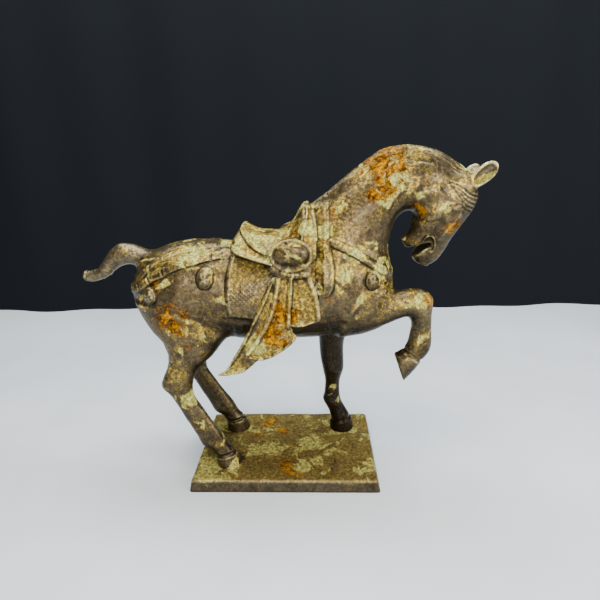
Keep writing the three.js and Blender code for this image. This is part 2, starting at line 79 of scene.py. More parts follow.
# %% The camera
SENSOR = 36.0
FOCAL = 27.18
CAMERA_PLACE = (0.0282, -0.3689, 0.2803)
YAW, PITCH, ROLL = (math.radians(angle) for angle in (-2.05, 18.59, -1.24))
camera_data = bpy.data.cameras.new("camera")
camera_data.sensor_width = SENSOR
camera_data.lens = FOCAL
camera = bpy.data.objects.new("camera", camera_data)
bpy.context.collection.objects.link(camera)
camera.location = CAMERA_PLACE
forward = np.array(
    [math.sin(YAW) * math.cos(PITCH), math.cos(YAW) * math.cos(PITCH), -math.sin(PITCH)]
)
level = np.array([math.cos(YAW), -math.sin(YAW), 0.0])
upward = np.cross(level, forward)
right = math.cos(ROLL) * level + math.sin(ROLL) * upward
upward = -math.sin(ROLL) * level + math.cos(ROLL) * upward
camera.rotation_euler = Matrix(np.column_stack([right, upward, -forward]).tolist()).to_euler()
bpy.context.scene.camera = camera
print("camera at", tuple(camera.location))

# %% [markdown]
# ## Limbs
# A limb is drawn as a row of stations. Each is an oval cross-section seen from the side: its
# front or upper point, its back or lower point, how far its middle stands from the centre
# plane, and its half width. Heights are above the plate. A last number makes the oval
# pear-shaped: above zero it is wider towards the back or lower point. A few such numbers
# keep a limb smooth and easy to change, where a sculpted mesh would be neither.

# %% Stations of the trunk, neck and head
BARREL = [
    (-127, 162, -127, 156, 0, 3, 0),
    (-124.5, 170, -124.5, 146, 0, 11, 0),
    (-119, 178, -119, 134, 0, 19, 0),
    (-112, 187, -112, 124, 0, 26, 0),
    (-98, 194, -98, 117, 0, 33, -0.04),
    (-80, 198.5, -80, 115, 0, 37, -0.02),
    (-55, 199, -55, 115, 0, 37.5, 0.04),
    (-25, 197, -25, 114, 0, 38.5, 0.08),
    (5, 196, 5, 114, 0, 39, 0.08),
    (35, 199, 35, 115, 0, 38, 0.08),
    (58, 199, 58, 119, 0, 35, 0.06),
    (74, 193, 74, 126, 0, 30, 0.02),
    (85, 182, 85, 136, 0, 22, 0),
    (91, 167, 91, 151, 0, 9, 0),
    (92.5, 162, 92.5, 157, 0, 3, 0),
]
NECK = [
    (14, 196, 78, 140, 0, 33, 0),
    (26, 218, 88, 166, 0, 29, 0.05),
    (38, 230, 87, 184, 0, 25, 0.12),
    (52, 243, 89, 201, 0, 21.5, 0.16),
    (69, 255, 93, 213, 0, 19, 0.18),
    (86, 262.5, 99, 219, 0, 17.5, 0.18),
    (103, 264.5, 105.5, 220, 0, 17, 0.14),
    (118, 261.5, 110, 219, 0, 16, 0.08),
    (130, 256, 116, 222, 0, 13.5, 0),
    (137, 250, 124, 232, 0, 9, 0),
]
HEAD = [
    (146, 251, 136, 252, 0, 6, 0),
    (153, 243, 124, 244, 0, 13.5, -0.05),
    (157, 231, 112, 226, 0, 16.5, 0),
    (153, 219, 107.5, 214, 0, 16.5, 0.05),
    (146, 208, 106, 206, 0, 14, 0.04),
    (139, 197, 102.5, 201.5, 0, 11.3, 0),
    (133.5, 186.5, 99, 197, 0, 10, -0.05),
    (128.5, 179.5, 102, 191, 0, 9.8, -0.05),
    (121, 174.5, 110, 179, 0, 7.5, 0),
]
print("stations of trunk, neck and head:", len(BARREL), len(NECK), len(HEAD))

# %% [markdown]
# The hind legs match, so one function gives the stations of both. The forelegs differ: the
# far one stands and the near one is raised. The tail arches up and then down to its tip,
# and the mane is a thin limb laid along the crest.

# %% Stations of the legs and tail


def hind_leg(side):
    """Stations of one hind leg; side is -1 for the near one and 1 for the far one."""
    return [
        (-50, 150, -118, 150, 18 * side, 15, 0),
        (-44, 130, -109, 128, 20 * side, 16.5, 0),
        (-50, 116, -101, 119, 22 * side, 15, 0),
        (-60, 104, -96.5, 107, 24 * side, 12, 0),
        (-70, 95, -97.5, 96, 25 * side, 9.6, 0),
        (-76, 85, -103, 84, 26 * side, 8.4, -0.1),
        (-78, 75, -104, 77, 26 * side, 7.8, -0.15),
        (-77, 66, -96, 65, 26 * side, 6.6, -0.1),
        (-70, 54, -86, 45, 26.5 * side, 6, 0),
        (-63, 42, -79, 31, 27 * side, 6.2, 0),
        (-55, 29, -74, 20, 27.5 * side, 7.6, 0),
        (-50.5, 20, -67, 15.5, 27.5 * side, 7.2, 0),
        (-45, 13.5, -64.5, 9.5, 27.5 * side, 7.8, 0),
        (-42, 6, -62, 4.5, 27.5 * side, 8.6, 0),
        (-41, -1, -61, -1, 27.5 * side, 9.2, 0),
    ]


STANDING_FORELEG = [
    (76, 140, 26, 138, 22, 15, 0),
    (64, 119, 28, 117, 24.5, 12.5, 0),
    (55.5, 99, 31, 99, 26.5, 10.3, 0),
    (54.5, 79, 32.5, 79, 27, 8.8, 0),
    (54.5, 66, 35, 65, 27.5, 8.6, 0),
    (51.5, 53, 37, 52, 28, 6.3, 0),
    (51, 40, 36, 39, 28, 6.2, 0),
    (52.5, 31, 35, 32, 28, 7.6, 0),
    (56, 24, 40, 22, 28, 6.8, 0),
    (60.5, 15.5, 42.5, 12.5, 28, 8.4, 0),
    (63.5, 8, 42, 6.5, 28, 9, 0),
    (64, -1, 42.5, -1, 28, 9.6, 0),
]
RAISED_FORELEG = [
    (68, 168, 48, 119, -17, 16, 0),
    (81, 162, 70, 124, -20.5, 14, 0),
    (91, 159.5, 86, 132, -22.5, 11.5, 0),
    (102, 161, 98, 137.5, -23, 10, 0),
    (113, 160.5, 103, 137.5, -23, 9.8, 0),
    (121.5, 152, 105.5, 134, -23, 9, 0),
    (122, 138, 106, 130, -23, 7.6, 0),
    (122.5, 126, 105.5, 125, -23, 7.2, 0),
    (123, 115, 103.5, 115, -23, 8, 0),
    (121.5, 107, 99.5, 108.5, -23, 7.6, 0),
    (116.5, 100, 96, 105.5, -23, 8.6, 0),
    (109.5, 90, 94.5, 105, -23, 9.4, 0),
    (102, 81, 94, 103.5, -23, 9.6, 0),
]
TAIL = [
    (-100, 186, -112, 170, 0, 9, 0),
    (-114, 192, -121, 177, 0, 8.5, 0),
    (-124, 196, -127, 179, 0, 8.2, 0),
    (-135, 196.5, -133.5, 178, 0, 8, 0),
    (-144, 190, -140, 175, 0, 7.4, 0),
    (-150, 183, -145.5, 169.5, 0, 6.8, 0),
    (-156, 176.5, -152.5, 165.5, 0, 5.8, 0),
    (-163, 174.6, -161, 163.2, 0, 5.4, 0),
    (-167, 174, -165.5, 163.4, 0, 5.2, 0),
    (-169.3, 172.2, -168.3, 165.4, 0, 3.6, 0),
]
MANE = [
    (24, 226, 32, 214, 0, 4.5, 0),
    (41, 238, 49, 229, 0, 6, 0),
    (61, 253.5, 67, 245, 0, 7, 0),
    (79, 266, 83, 256, 0, 7.5, 0),
    (99, 270, 99, 260, 0, 7.5, 0),
    (119, 267, 115, 257, 0, 7, 0),
    (132, 260.5, 127, 251, 0, 6, 0),
    (143, 253, 137, 246, 0, 4, 0),
]
print("stations of a hind leg, raised foreleg, tail and mane:", len(hind_leg(-1)))
print(len(RAISED_FORELEG), len(TAIL), len(MANE))

# %% [markdown]
# The ovals between two stations come from a Catmull-Rom curve, which passes through every
# station without a corner.

# %% Lofting a limb


def smooth_through(points, steps):
    """Rows of points joined smoothly: between rows b and c, with a before and d after and t
    from 0 to 1, b + t/2 (c - a) + t^2/2 (2a - 5b + 4c - d) + t^3/2 (3b - 3c + d - a)."""
    points = np.asarray(points, float)
    padded = np.vstack([2 * points[0] - points[1], points, 2 * points[-1] - points[-2]])
    a, b, c, d = (padded[i : len(padded) - 3 + i, None] for i in range(4))
    t = (np.arange(steps) / steps)[None, :, None]
    curve = b + 0.5 * t * (c - a + t * (2 * a - 5 * b + 4 * c - d + t * (3 * (b - c) + d - a)))
    return np.vstack([curve.reshape(-1, points.shape[1]), points[-1:]])


def loft(stations, around=40, steps=6, grow=0.0):
    """Points and faces of a limb. Round each oval by angle u: middle + along (r + grow) cos u
    + side (w + grow) (1 - pear cos u) sin u."""
    rows = smooth_through(stations, steps)
    front = np.column_stack([rows[:, 0], rows[:, 4], rows[:, 1] + PLATE_TOP])
    back = np.column_stack([rows[:, 2], rows[:, 4], rows[:, 3] + PLATE_TOP])
    middle = (front + back) / 2
    radius = np.linalg.norm(front - back, axis=1) / 2
    along = (front - back) / (2 * radius[:, None])
    u = np.linspace(0, 2 * math.pi, around, endpoint=False)
    width = (rows[:, 5:6] + grow) * (1 - rows[:, 6:7] * np.cos(u)) * np.sin(u)
    rings = middle[:, None] + along[:, None] * ((radius[:, None] + grow) * np.cos(u))[..., None]
    rings[..., 1] += width
    count = len(rows)
    i, j = np.meshgrid(np.arange(count - 1), np.arange(around), indexing="ij")
    k = (j + 1) % around
    quads = np.stack([i * around + j, i * around + k, (i + 1) * around + k, (i + 1) * around + j])
    first, last = count * around, count * around + 1
    ring = np.arange(around)
    following = (ring + 1) % around
    offset = (count - 1) * around
    start = np.stack([np.full(around, first), following, ring])
    end = np.stack([np.full(around, last), offset + ring, offset + following])
    points = np.vstack([rings.reshape(-1, 3), middle[:1], middle[-1:]])
    return points, quads.reshape(4, -1).T, np.hstack([start, end]).T


print("a lofted barrel has", len(loft(BARREL)[0]), "points")

# %% [markdown]
# ## Distance fields
# A distance field stores, at every grid point, how far the nearest surface is, below zero
# inside. Two of them melt together with a smooth minimum, which is what makes the fillets.
# The melting needs distances well away from the surface, so it is done on a coarse grid,
# and the result is then refined to a grid fine enough for straps and folds.

# %% The coarse grid
FINE = 0.7
COARSE = 2 * FINE
BAND = 20.0
GRID_LOW = np.array([-174.0, -58.0, PLATE_TOP - 5])
GRID_HIGH = np.array([173.0, 58.0, 286.0])
COARSE_SHAPE = tuple(int(n) for n in np.ceil((GRID_HIGH - GRID_LOW) / COARSE) + 1)


def distances(points, quads, triangles):
    """The distance field of a closed surface on the coarse grid, in mm."""
    grid = vdb.FloatGrid.createLevelSetFromPolygons(
        ((points - GRID_LOW) / COARSE).astype(np.float32),
        triangles=triangles.astype(np.uint32),
        quads=quads.astype(np.uint32),
        transform=vdb.createLinearTransform(voxelSize=1.0),
        halfWidth=BAND / COARSE,
    )
    field = np.full(COARSE_SHAPE, BAND / COARSE, np.float32)
    grid.copyToArray(field, ijk=(0, 0, 0))
    return field * COARSE


def melt(a, b, radius):
    """Smooth minimum: min(a, b) - h^2 radius / 4, where h = max(1 - |a - b| / radius, 0)."""
    h = np.maximum(1 - np.abs(a - b) / radius, 0)
    return np.minimum(a, b) - h * h * (radius / 4)


def carve(a, b, radius):
    """Smooth maximum, the same with the signs turned round: what is inside both a and b."""
    return -melt(-a, -b, radius)


LIMBS = {
    "neck": (NECK, 12.0),
    "head": (HEAD, 7.0),
    "hindleg_near": (hind_leg(-1), 7.0),
    "hindleg_far": (hind_leg(1), 7.0),
    "foreleg_far": (STANDING_FORELEG, 8.0),
    "foreleg_near_raised": (RAISED_FORELEG, 9.0),
    "tail": (TAIL, 6.0),
    "mane": (MANE, 5.0),
}
body = distances(*loft(BARREL))
for stations, radius in LIMBS.values():
    body = melt(body, distances(*loft(stations)), radius)
print("coarse grid", body.shape, "with", int((body < 0).sum()), "cells inside")

# %% [markdown]
# The finer grid is filled in from the coarse one with a four-point cubic, so that no facets
# of the coarse grid show on polished curves.

# %% The fine grid


def refine(field):
    """Doubles the grid along each axis: a new point between b and c, with a before and d
    after, is 9/16 (b + c) - 1/16 (a + d)."""
    for axis in range(3):
        f = np.moveaxis(field, axis, 0)
        between = 0.5 * (f[:-1] + f[1:])
        between[1:-1] += 0.0625 * (f[1:-2] + f[2:-1] - f[:-3] - f[3:])
        out = np.empty((2 * len(f) - 1,) + f.shape[1:], np.float32)
        out[::2] = f
        out[1::2] = between
        field = np.moveaxis(out, 0, axis)
    return np.ascontiguousarray(field)


base = refine(body)
skin = base.copy()
owner = np.zeros(base.shape, np.uint8)
OWNERS = ["casting"]
print("fine grid", base.shape, "of", round(base.nbytes / 1e6), "MB")

# %% [markdown]
# Each detail touches a small part of the grid only, so it is worked out inside a window and
# put back. A detail is a function of the window's x, y and z and of the plain skin there,
# and gives a distance field. A second grid notes which piece owns each point, which later
# tells where to cut. Tack that hangs on both sides is made once for each.

# %% Working inside a window of the grid
SIDES = (("near", -1), ("far", 1))


def window(low, high):
    """The slices of the fine grid between two corners in mm, and the x, y and z of its points
    as arrays that broadcast together."""
    start = np.maximum(np.floor((np.array(low) - GRID_LOW) / FINE).astype(int), 0)
    stop = np.minimum(np.ceil((np.array(high) - GRID_LOW) / FINE).astype(int) + 1, base.shape)
    cut = tuple(slice(a, b) for a, b in zip(start, stop))
    steps = (np.arange(a, b, dtype=np.float32) for a, b in zip(start, stop))
    x, y, z = (corner + FINE * step for corner, step in zip(GRID_LOW, steps))
    return cut, x[:, None, None], y[None, :, None], z[None, None, :]


def on_side(side, xs, ys, zs):
    """The two corners of a window on one side of the horse. ys is a range of distances from
    the centre plane, and is turned round on the near side, where y is below zero."""
    y_low, y_high = sorted((side * ys[0], side * ys[1]))
    return (xs[0], y_low, zs[0]), (xs[1], y_high, zs[1])


def lay_on(name, low, high, shape, blend=0.8):
    """Adds a shape to the skin inside a window, and notes which grid points it now owns."""
    cut, x, y, z = window(low, high)
    if name not in OWNERS:
        OWNERS.append(name)
    added = shape(x, y, z, base[cut]).astype(np.float32)
    here = skin[cut]
    owner[cut][added < here] = OWNERS.index(name)
    skin[cut] = melt(here, added, blend)
    print(name, "owns", int((owner[cut] == OWNERS.index(name)).sum()), "grid points")


def press_in(low, high, shape, blend=0.8):
    """Cuts a shape out of the skin inside a window."""
    cut, x, y, z = window(low, high)
    skin[cut] = carve(skin[cut], -shape(x, y, z, base[cut]).astype(np.float32), blend)


def raise_skin(low, high, amount):
    """Moves the skin outwards by an amount in mm that varies over the window."""
    cut, x, y, z = window(low, high)
    skin[cut] -= amount(x, y, z)


print("corners of a window on the near side:", on_side(-1, (0, 10), (8, 50), (100, 110)))

# %% [markdown]
# Straps, borders and folds are drawn from the side as lines and outlines. Two helpers
# measure flat distances to them on a patch of the side view.

# %% Lines and outlines on the side view


def to_line(x, z, points, closed=False, steps=4):
    """Flat distance from (x, z) to a smooth line through the points, and how far along the
    line the nearest place is, in mm."""
    line = np.array(points, float)
    if steps > 1:
        line = smooth_through(line, steps)
    if closed:
        line = np.vstack([line, line[:1]])
    nearest = np.full(np.broadcast(x, z).shape, 1e6, np.float32)
    along = np.zeros_like(nearest)
    travelled = 0.0
    for (ax, az), (bx, bz) in zip(line[:-1], line[1:]):
        dx, dz = bx - ax, bz - az
        length = math.hypot(dx, dz)
        t = np.clip(((x - ax) * dx + (z - az) * dz) / length**2, 0, 1)
        distance = np.hypot(x - ax - t * dx, z - az - t * dz)
        closer = distance < nearest
        nearest = np.where(closer, distance, nearest)
        along = np.where(closer, travelled + t * length, along)
        travelled += length
    return nearest, along


def in_outline(x, z, points):
    """Flat signed distance to a closed outline of straight sides, below zero inside."""
    corners = np.array(points, float)
    distance, _ = to_line(x, z, corners, closed=True, steps=1)
    inside = np.zeros(distance.shape, bool)
    for (ax, az), (bx, bz) in zip(corners, np.roll(corners, -1, axis=0)):
        crosses = (az > z) != (bz > z)
        edge = ax + (z - az) * (bx - ax) / (bz - az if bz != az else 1e-6)
        inside ^= crosses & (x < edge)
    return np.where(inside, -distance, distance)


def bump(distance, width):
    """A rounded ridge across a line: cos^2 of the distance, down to nothing at width / 2."""
    return np.cos(np.clip(distance / (width / 2), 0, 1) * math.pi / 2) ** 2


def ridge(x, z, points, width):
    """A rounded ridge, 1 high, along a smooth line through the points."""
    return bump(to_line(x, z, points)[0], width)


def ridges(x, z, lines):
    """The highest of several ridges, each given by its points, its width and its height."""
    total = 0.0
    for points, width, height in lines:
        total = np.maximum(total, ridge(x, z, points, width) * height)
    return total


print("a ridge at its top and at its foot:", bump(0.0, 4.0), round(bump(2.0, 4.0), 3))

# %% [markdown]
# ## Saddle cloth
# A plain cloth with a raised border, lying close on the trunk. A sheet of its own would have
# to be fitted to the trunk all over. Here it is the skin itself, raised by its thickness
# inside an outline, so it follows every swelling.

# %% The cloth
CLOTH_THICK = 1.5
CLOTH = [(-32, 226), (-33, 212), (-38, 199), (-41, 185), (-41.5, 171), (-40.5, 154.5)]
CLOTH += [(-20, 152.5), (10, 151), (27, 151.5), (29.5, 174), (36, 190), (38.5, 206)]
CLOTH += [(38.5, 222), (38.5, 240)]


def cloth(x, y, z, skin_below):
    """The skin moved out by the cloth, more at its border and less in the groove beside it,
    and cut to the outline."""
    outline = in_outline(x, z, CLOTH)
    border = bump(outline + 2.2, 2.6) * 0.8
    groove = bump(outline + 4.3, 1.6) * 0.35
    return carve(skin_below - (CLOTH_THICK + border - groove), outline, 1.2)


lay_on("saddle_cloth", (-46, -48, 145), (48, 48, 245), cloth)

# %% [markdown]
# ## Straps
# The rump strap runs from the cloth round the quarters, the breast strap round the chest.
# A band of its own would have to be bent round the horse point by point. Raising the skin
# near a line needs the line only. The rump strap is set with raised oblong plates.

# %% The straps
RUMP_HALF, UPPER_HALF, BREAST_HALF = 3.4, 1.7, 2.9
RUMP_LINE = [(-41, 202.5), (-52, 201.5), (-65, 198.5), (-80, 195), (-93, 189), (-101, 185.5)]
RUMP_LINE += [(-110, 179), (-122, 173), (-134, 169)]
BREAST_LINE = [(41, 211), (52, 206.5), (60, 202.5), (69, 196.5), (82, 188), (97, 181)]
UPPER_LINE = [(-52, 208), (-66, 206.5), (-82, 203.5), (-96, 198), (-106, 191), (-114, 182)]
PLATE_BREAKS = np.array([3.0, 12.5, 33.0, 52.0, 66.0, 78.0, 90.0])


def rump_strap(x, y, z, skin_below):
    """1 mm thick, 2 mm on the plates, which end 1 mm short of each break, with thin rims."""
    distance, along = to_line(x, z, RUMP_LINE)
    plates = np.zeros_like(distance)
    for start, stop in zip(PLATE_BREAKS[:-1], PLATE_BREAKS[1:]):
        lengthwise = np.abs(along - (start + stop) / 2) - (stop - start) / 2 + 1.0
        inside = np.maximum(lengthwise, distance - 2.6)
        plates = np.maximum(plates, np.clip(0.5 - inside / 0.8, 0, 1))
    rims = bump(distance - 2.9, 1.4) * 0.2
    return carve(skin_below - (1.0 + plates + rims), distance - RUMP_HALF, 1.0)


def upper_band(x, y, z, skin_below):
    """A flat band 0.9 mm thick above the rump strap."""
    distance, _ = to_line(x, z, UPPER_LINE)
    return carve(skin_below - 0.9, distance - UPPER_HALF, 1.0)


def breast_strap(x, y, z, skin_below):
    """Rounded across, 2 - 0.9 (distance / 3)^2 thick, and thinner towards the chest."""
    distance, _ = to_line(x, z, BREAST_LINE)
    rounded = (2.0 - 0.9 * (distance / 3.0) ** 2) * np.clip((92 - x) / 14, 0.25, 1)
    return carve(skin_below - rounded, distance - BREAST_HALF, 0.9)


lay_on("rump_strap", (-132, -45, 160), (-36, 45, 216), rump_strap)
lay_on("rump_strap", (-132, -45, 165), (-36, 45, 216), upper_band)
lay_on("breast_strap", (38, -44, 172), (100, 44, 220), breast_strap)

# %% [markdown]
# ## Bosses
# Round pendants hang from the straps: a rim, a hollow and a bell-like swelling. Turned
# pieces would stand off a curved flank. A height worked out from the distance to the middle
# and added to the skin sits on it all round.

# %% The bosses
RIM_AT, DOME_EDGE, PETALS = 0.86, 0.72, 5
BOSSES = {
    "rump_boss_front": (-57, 186, 6.6, 8.6, 3.2),
    "rump_boss_rear": (-103, 171.5, 6.4, 7.2, 3.4),
    "breast_boss": (73, 182, 6.4, 7.5, 4.0),
}


def boss_shape(centre_x, centre_z, half_x, half_z, height):
    """With rho from 0 in the middle to 1 at the edge: a rim near 0.86, and a dome
    (1 - (rho / 0.72)^2)^0.6 with five shallow petals."""

    def shape(x, y, z, skin_below):
        rho = np.hypot((x - centre_x) / half_x, (z - centre_z) / half_z)
        rim = bump(rho - RIM_AT, 0.3) * 0.55
        turn = np.arctan2(z - centre_z, x - centre_x)
        petals = 1 + 0.16 * np.cos(PETALS * turn) * np.minimum(rho * 3, 1)
        dome = np.clip(1 - (rho / DOME_EDGE) ** 2, 0, 1) ** 0.6 * petals
        profile = height * (0.32 + rim * 0.9 + 0.68 * dome)
        return carve(skin_below - profile, (rho - 1) * min(half_x, half_z), 0.8)

    return shape


for name, (cx, cz, hx, hz, height) in BOSSES.items():
    for word, side in SIDES:
        xs, zs = (cx - hx - 3, cx + hx + 3), (cz - hz - 3, cz + hz + 3)
        corners = on_side(side, xs, (8, 50), zs)
        lay_on(f"{name}_{word}", *corners, boss_shape(cx, cz, hx, hz, height))

# %% [markdown]
# ## Stirrup flap
# A tongue-shaped flap with a rounded top and a double raised border, in front of the knot.
# It is raised from the skin like the cloth, and it thins towards its lower end, so that it
# sinks under the drape. A small teardrop lies behind its front edge.

# %% The flap
FLAP = [(29, 196), (30.5, 205.8), (32.9, 210.1), (35.7, 211.5), (39.2, 208.6), (41.4, 202.7)]
FLAP += [(43.2, 190), (42.2, 178), (39.2, 171), (30, 169)]


def flap_shape(x, y, z, skin_below):
    """2.2 mm thick with two ridges along the front edge, all thinned towards the bottom."""
    outline = in_outline(x, z, FLAP)
    to_front = np.clip((x - 31) / 4, 0, 1)
    edge = bump(outline + 1.5, 3.0) * 1.4 * to_front
    inner = bump(outline + 5.2, 2.6) * 0.8 * to_front
    fading = np.clip((z - 167) / 14, 0.2, 1)
    return carve(skin_below - (2.2 + edge + inner) * fading, outline, 1.4)


def teardrop(x, y, z, skin_below):
    """An upright oval, 0.5 mm thick with a rim; 5.5 turns its radius into mm."""
    outline = np.hypot((x - 46.8) / 4.0, (z - 188) / 7.0) - 1
    edge = bump(outline * 5.5 + 1.0, 1.8) * 0.5
    return carve(skin_below - (0.5 + edge), outline * 5.5, 0.8)


for word, side in SIDES:
    corners = on_side(side, (26, 54), (12, 52), (168, 216))
    lay_on(f"stirrup_flap_{word}", *corners, teardrop)
    lay_on(f"stirrup_flap_{word}", *corners, flap_shape)

# %% [markdown]
# ## Saddle
# The seat is an arch over the back that rises to a cantle behind and a pommel in front. Its
# side panels end in two rolled edges, and the pommel is ribbed. The arch is lofted from
# ovals like a limb, a little larger than the trunk, because no raising of the skin could
# lift the cantle and pommel clear of it. The outline then cuts it to shape.

# %% The saddle


def arch(x, top):
    """A station of the saddle: an oval struck from a fixed height inside the horse."""
    return (x, top, x, 330 - top, 0, 40, 0)


SADDLE = [arch(-41, 192), arch(-33, 205.6), arch(-28, 206), arch(-18, 202.6), arch(-4, 201)]
SADDLE += [arch(5, 203.5), arch(12, 210.5), arch(18, 221), arch(22, 222.5), arch(29, 216)]
SEAT_OUTLINE = [(-31, 240), (-30.5, 221), (-38, 211), (-36.5, 205.5), (-20, 199.5), (0, 194.5)]
SEAT_OUTLINE += [(14, 191), (22, 196), (31, 203), (31, 216), (28, 240)]
SEAT_LINE = [(-18, 216), (-8, 213), (2, 214)]
ROLLS = [
    ([(-29.5, 221.5), (-24, 215), (-18.9, 209.8), (-9.4, 204.8)], 5.0, 2.6),
    ([(-36, 209), (-30, 205.8), (-22.6, 203), (-12, 199.8), (-4, 197.4)], 4.6, 2.2),
]
RIBS = [
    ([(22.6, 240), (22.4, 231), (20.5, 224.3), (17.3, 212.1)], 4.0, 1.7),
    ([(26.6, 238), (28.5, 226), (30.5, 214), (31, 204)], 3.6, 1.2),
]
SADDLE_WINDOW = (-44, -52, 186), (34, 52, 252)
saddle_arch = refine(distances(*loft(SADDLE, around=56, grow=5.4)))


def saddle(x, y, z, skin_below):
    """The arch, with rolls and ribs raised on it and the seat dished, cut to the outline."""
    cut, *_ = window(*SADDLE_WINDOW)
    outline = in_outline(x, z, SEAT_OUTLINE)
    dished = ridge(x, z, SEAT_LINE, 12) * 0.8
    return carve(saddle_arch[cut] - ridges(x, z, ROLLS + RIBS) + dished, outline, 2.0)


def withers_rib(x, y, z, skin_below):
    """The front hem of the cloth, turned up in a rib over the withers."""
    distance, _ = to_line(x, z, [(37.5, 238), (37.5, 223.5), (36.6, 211)])
    return carve(skin_below - 1.8, distance - 1.7, 1.2)


lay_on("saddle", *SADDLE_WINDOW, saddle, blend=1.2)
lay_on("saddle_cloth", (30, -40, 208), (42, 40, 242), withers_rib, blend=1.5)
del saddle_arch

# %% [markdown]
# ## Tied cover
# The saddle cover is bunched into a knot on each side, and its ends hang below in three
# overlapping layers, swept back. The ends stand clear of the flank, so raising the skin
# would not do. Each layer is a sheet of its own: an outline on the side view, and a distance
# from the centre plane that the folds push in and out.

# %% The drape
WEDGE = [(-3.9, 188), (-8.7, 177.7), (-14.4, 166.2), (-24.4, 144.8), (-34.6, 126.8), (-45, 110)]
WEDGE += [(-53, 105.5), (-45.4, 105), (-36, 106.7), (-29.6, 108.9), (-24.7, 113.2), (-18, 119)]
WEDGE += [(-5, 150), (5, 188)]
LOBE = [(-0.9, 188), (-3.5, 174), (-6, 164.8), (-11.9, 149.2), (-20, 136.4), (-27.6, 125.7)]
LOBE += [(-25.3, 122), (-19.3, 120), (-13.2, 119.8), (-5.5, 123.1), (2.2, 128), (9.2, 133.7)]
LOBE += [(12.7, 137.7), (13.4, 141), (10.9, 143.6), (9, 149), (9.2, 161.6), (10.8, 174)]
LOBE += [(11.5, 190)]
PANEL = [(10.5, 191), (9.6, 174), (8.4, 161.6), (7.6, 148.6), (13.2, 147.8), (19.1, 148.6)]
PANEL += [(25.1, 150.5), (31, 152.6), (32.2, 154.5), (31.7, 160), (31.1, 167.5), (29, 176.7)]
PANEL += [(25.8, 185.7), (24.6, 192)]
WEDGE_FOLDS = [
    ([(-4.5, 184), (-9.9, 171), (-22, 147), (-34, 125.5), (-47, 107.5)], 3.2, 1.3),
    ([(-52, 106.4), (-45, 106.2), (-36, 107.8), (-30, 110), (-25, 114.4)], 2.2, 0.8),
]
LOBE_HEM = [(-24.4, 123.2), (-19, 121.4), (-13, 121.2), (-5.8, 124.6), (2, 129.6), (11.4, 138.6)]
LOBE_FOLDS = [
    ([(1.2, 188), (-1.5, 174), (-4, 164), (-10, 149), (-18, 136.4), (-25.6, 126)], 5.0, 1.7),
    ([(10.8, 188), (9.4, 173), (8.2, 161), (7.4, 149)], 6.0, 2.6),
    (LOBE_HEM, 2.2, 0.9),
    ([(-15, 128), (-6, 133), (2, 140)], 15.0, 1.0),
]
PANEL_FOLDS = [
    ([(23, 189), (27, 177), (29.4, 165), (29.8, 156)], 6.0, 1.4),
    ([(17, 187), (18.4, 170), (19, 155)], 7.0, 0.8),
    ([(8.6, 150), (14, 149.2), (20, 150), (30.4, 153.8)], 2.2, 0.9),
]
DRAPE_IN, SHEET_THICK, SWAY = 41.5, 1.8, 0.2
LAYERS = (
    (WEDGE, WEDGE_FOLDS, DRAPE_IN - 2.0),
    (PANEL, PANEL_FOLDS, DRAPE_IN),
    (LOBE, LOBE_FOLDS, DRAPE_IN + 0.6),
)


def drape_layer(outline_points, folds, inner):
    """A sheet between two depths: the inner one, and the inner one plus its thickness and
    folds. Both sway by sin(0.33 (x + 0.55 z)), and the inner one falls away above."""

    def shape(x, y, z, skin_below):
        depth = np.abs(y)
        outline = in_outline(x, z, outline_points)
        wave = SWAY * np.sin((x + 0.55 * z) * 0.33)
        outer = inner + SHEET_THICK + ridges(x, z, folds) + wave
        inside = inner + wave * 0.6 - 0.02 * np.clip(z - 150, 0, None) ** 1.2
        sheet = np.maximum(depth - outer, inside - depth) * 0.8
        return carve(sheet, outline, 1.0)

    return shape


for word, side in SIDES:
    corners = on_side(side, (-58, 38), (34, 56), (100, 198))
    for layer in LAYERS:
        lay_on(f"cover_drape_{word}", *corners, drape_layer(*layer), blend=0.4)

# %% [markdown]
# The knot is a bunched dome inside a rolled rim, with a puckered collar under it where the
# cloth is gathered. Waves across the dome stand for the bunching, which is less work than
# tying a real sheet, and at this size looks the same.

# %% The knot
KNOT = (10.0, 205.5)
COLLAR_LINE = [(-3, 195), (3.8, 191.6), (14.3, 189.6), (23, 190.2)]


def knot_shape(x, y, z, skin_below):
    """A dome 6.2 (1 - rho^2.4)^0.6 high with lumps, a rim like a bent tube, and a backing."""
    depth = np.abs(y)
    dx, dz = x - KNOT[0], z - KNOT[1]
    angle = np.arctan2(dz / 11.5, dx / 16.5)
    rho = np.hypot(dx / (13.2 + 0.3 * np.sin(3 * angle)), dz / (10.0 + 0.3 * np.cos(5 * angle)))
    lumps = 0.45 * np.sin(dx * 0.42 + 1) * np.cos(dz * 0.5) + 0.25 * np.sin(dx * 0.7 + dz * 0.9)
    height = 6.2 * np.clip(1 - rho**2.4, 0, 1) ** 0.6 + lumps * np.clip(1.3 - rho, 0, 1)
    dome = np.maximum(depth - (41.5 + height), (rho - 1) * 9) * 0.7
    rim_rho = np.hypot((dx - 0.6) / 14.8, (dz + 0.5) / 11.2)
    tilt = 43.0 - 0.09 * dz
    rim = np.hypot((rim_rho - 1) * 12.5, depth - tilt) - (1.35 + 0.25 * np.clip(-dz / 11, -0.6, 1))
    backing = np.maximum(depth - 42.5, (rim_rho - 1) * 12) * 0.8
    return melt(melt(dome, rim, 1.0), backing, 1.5)


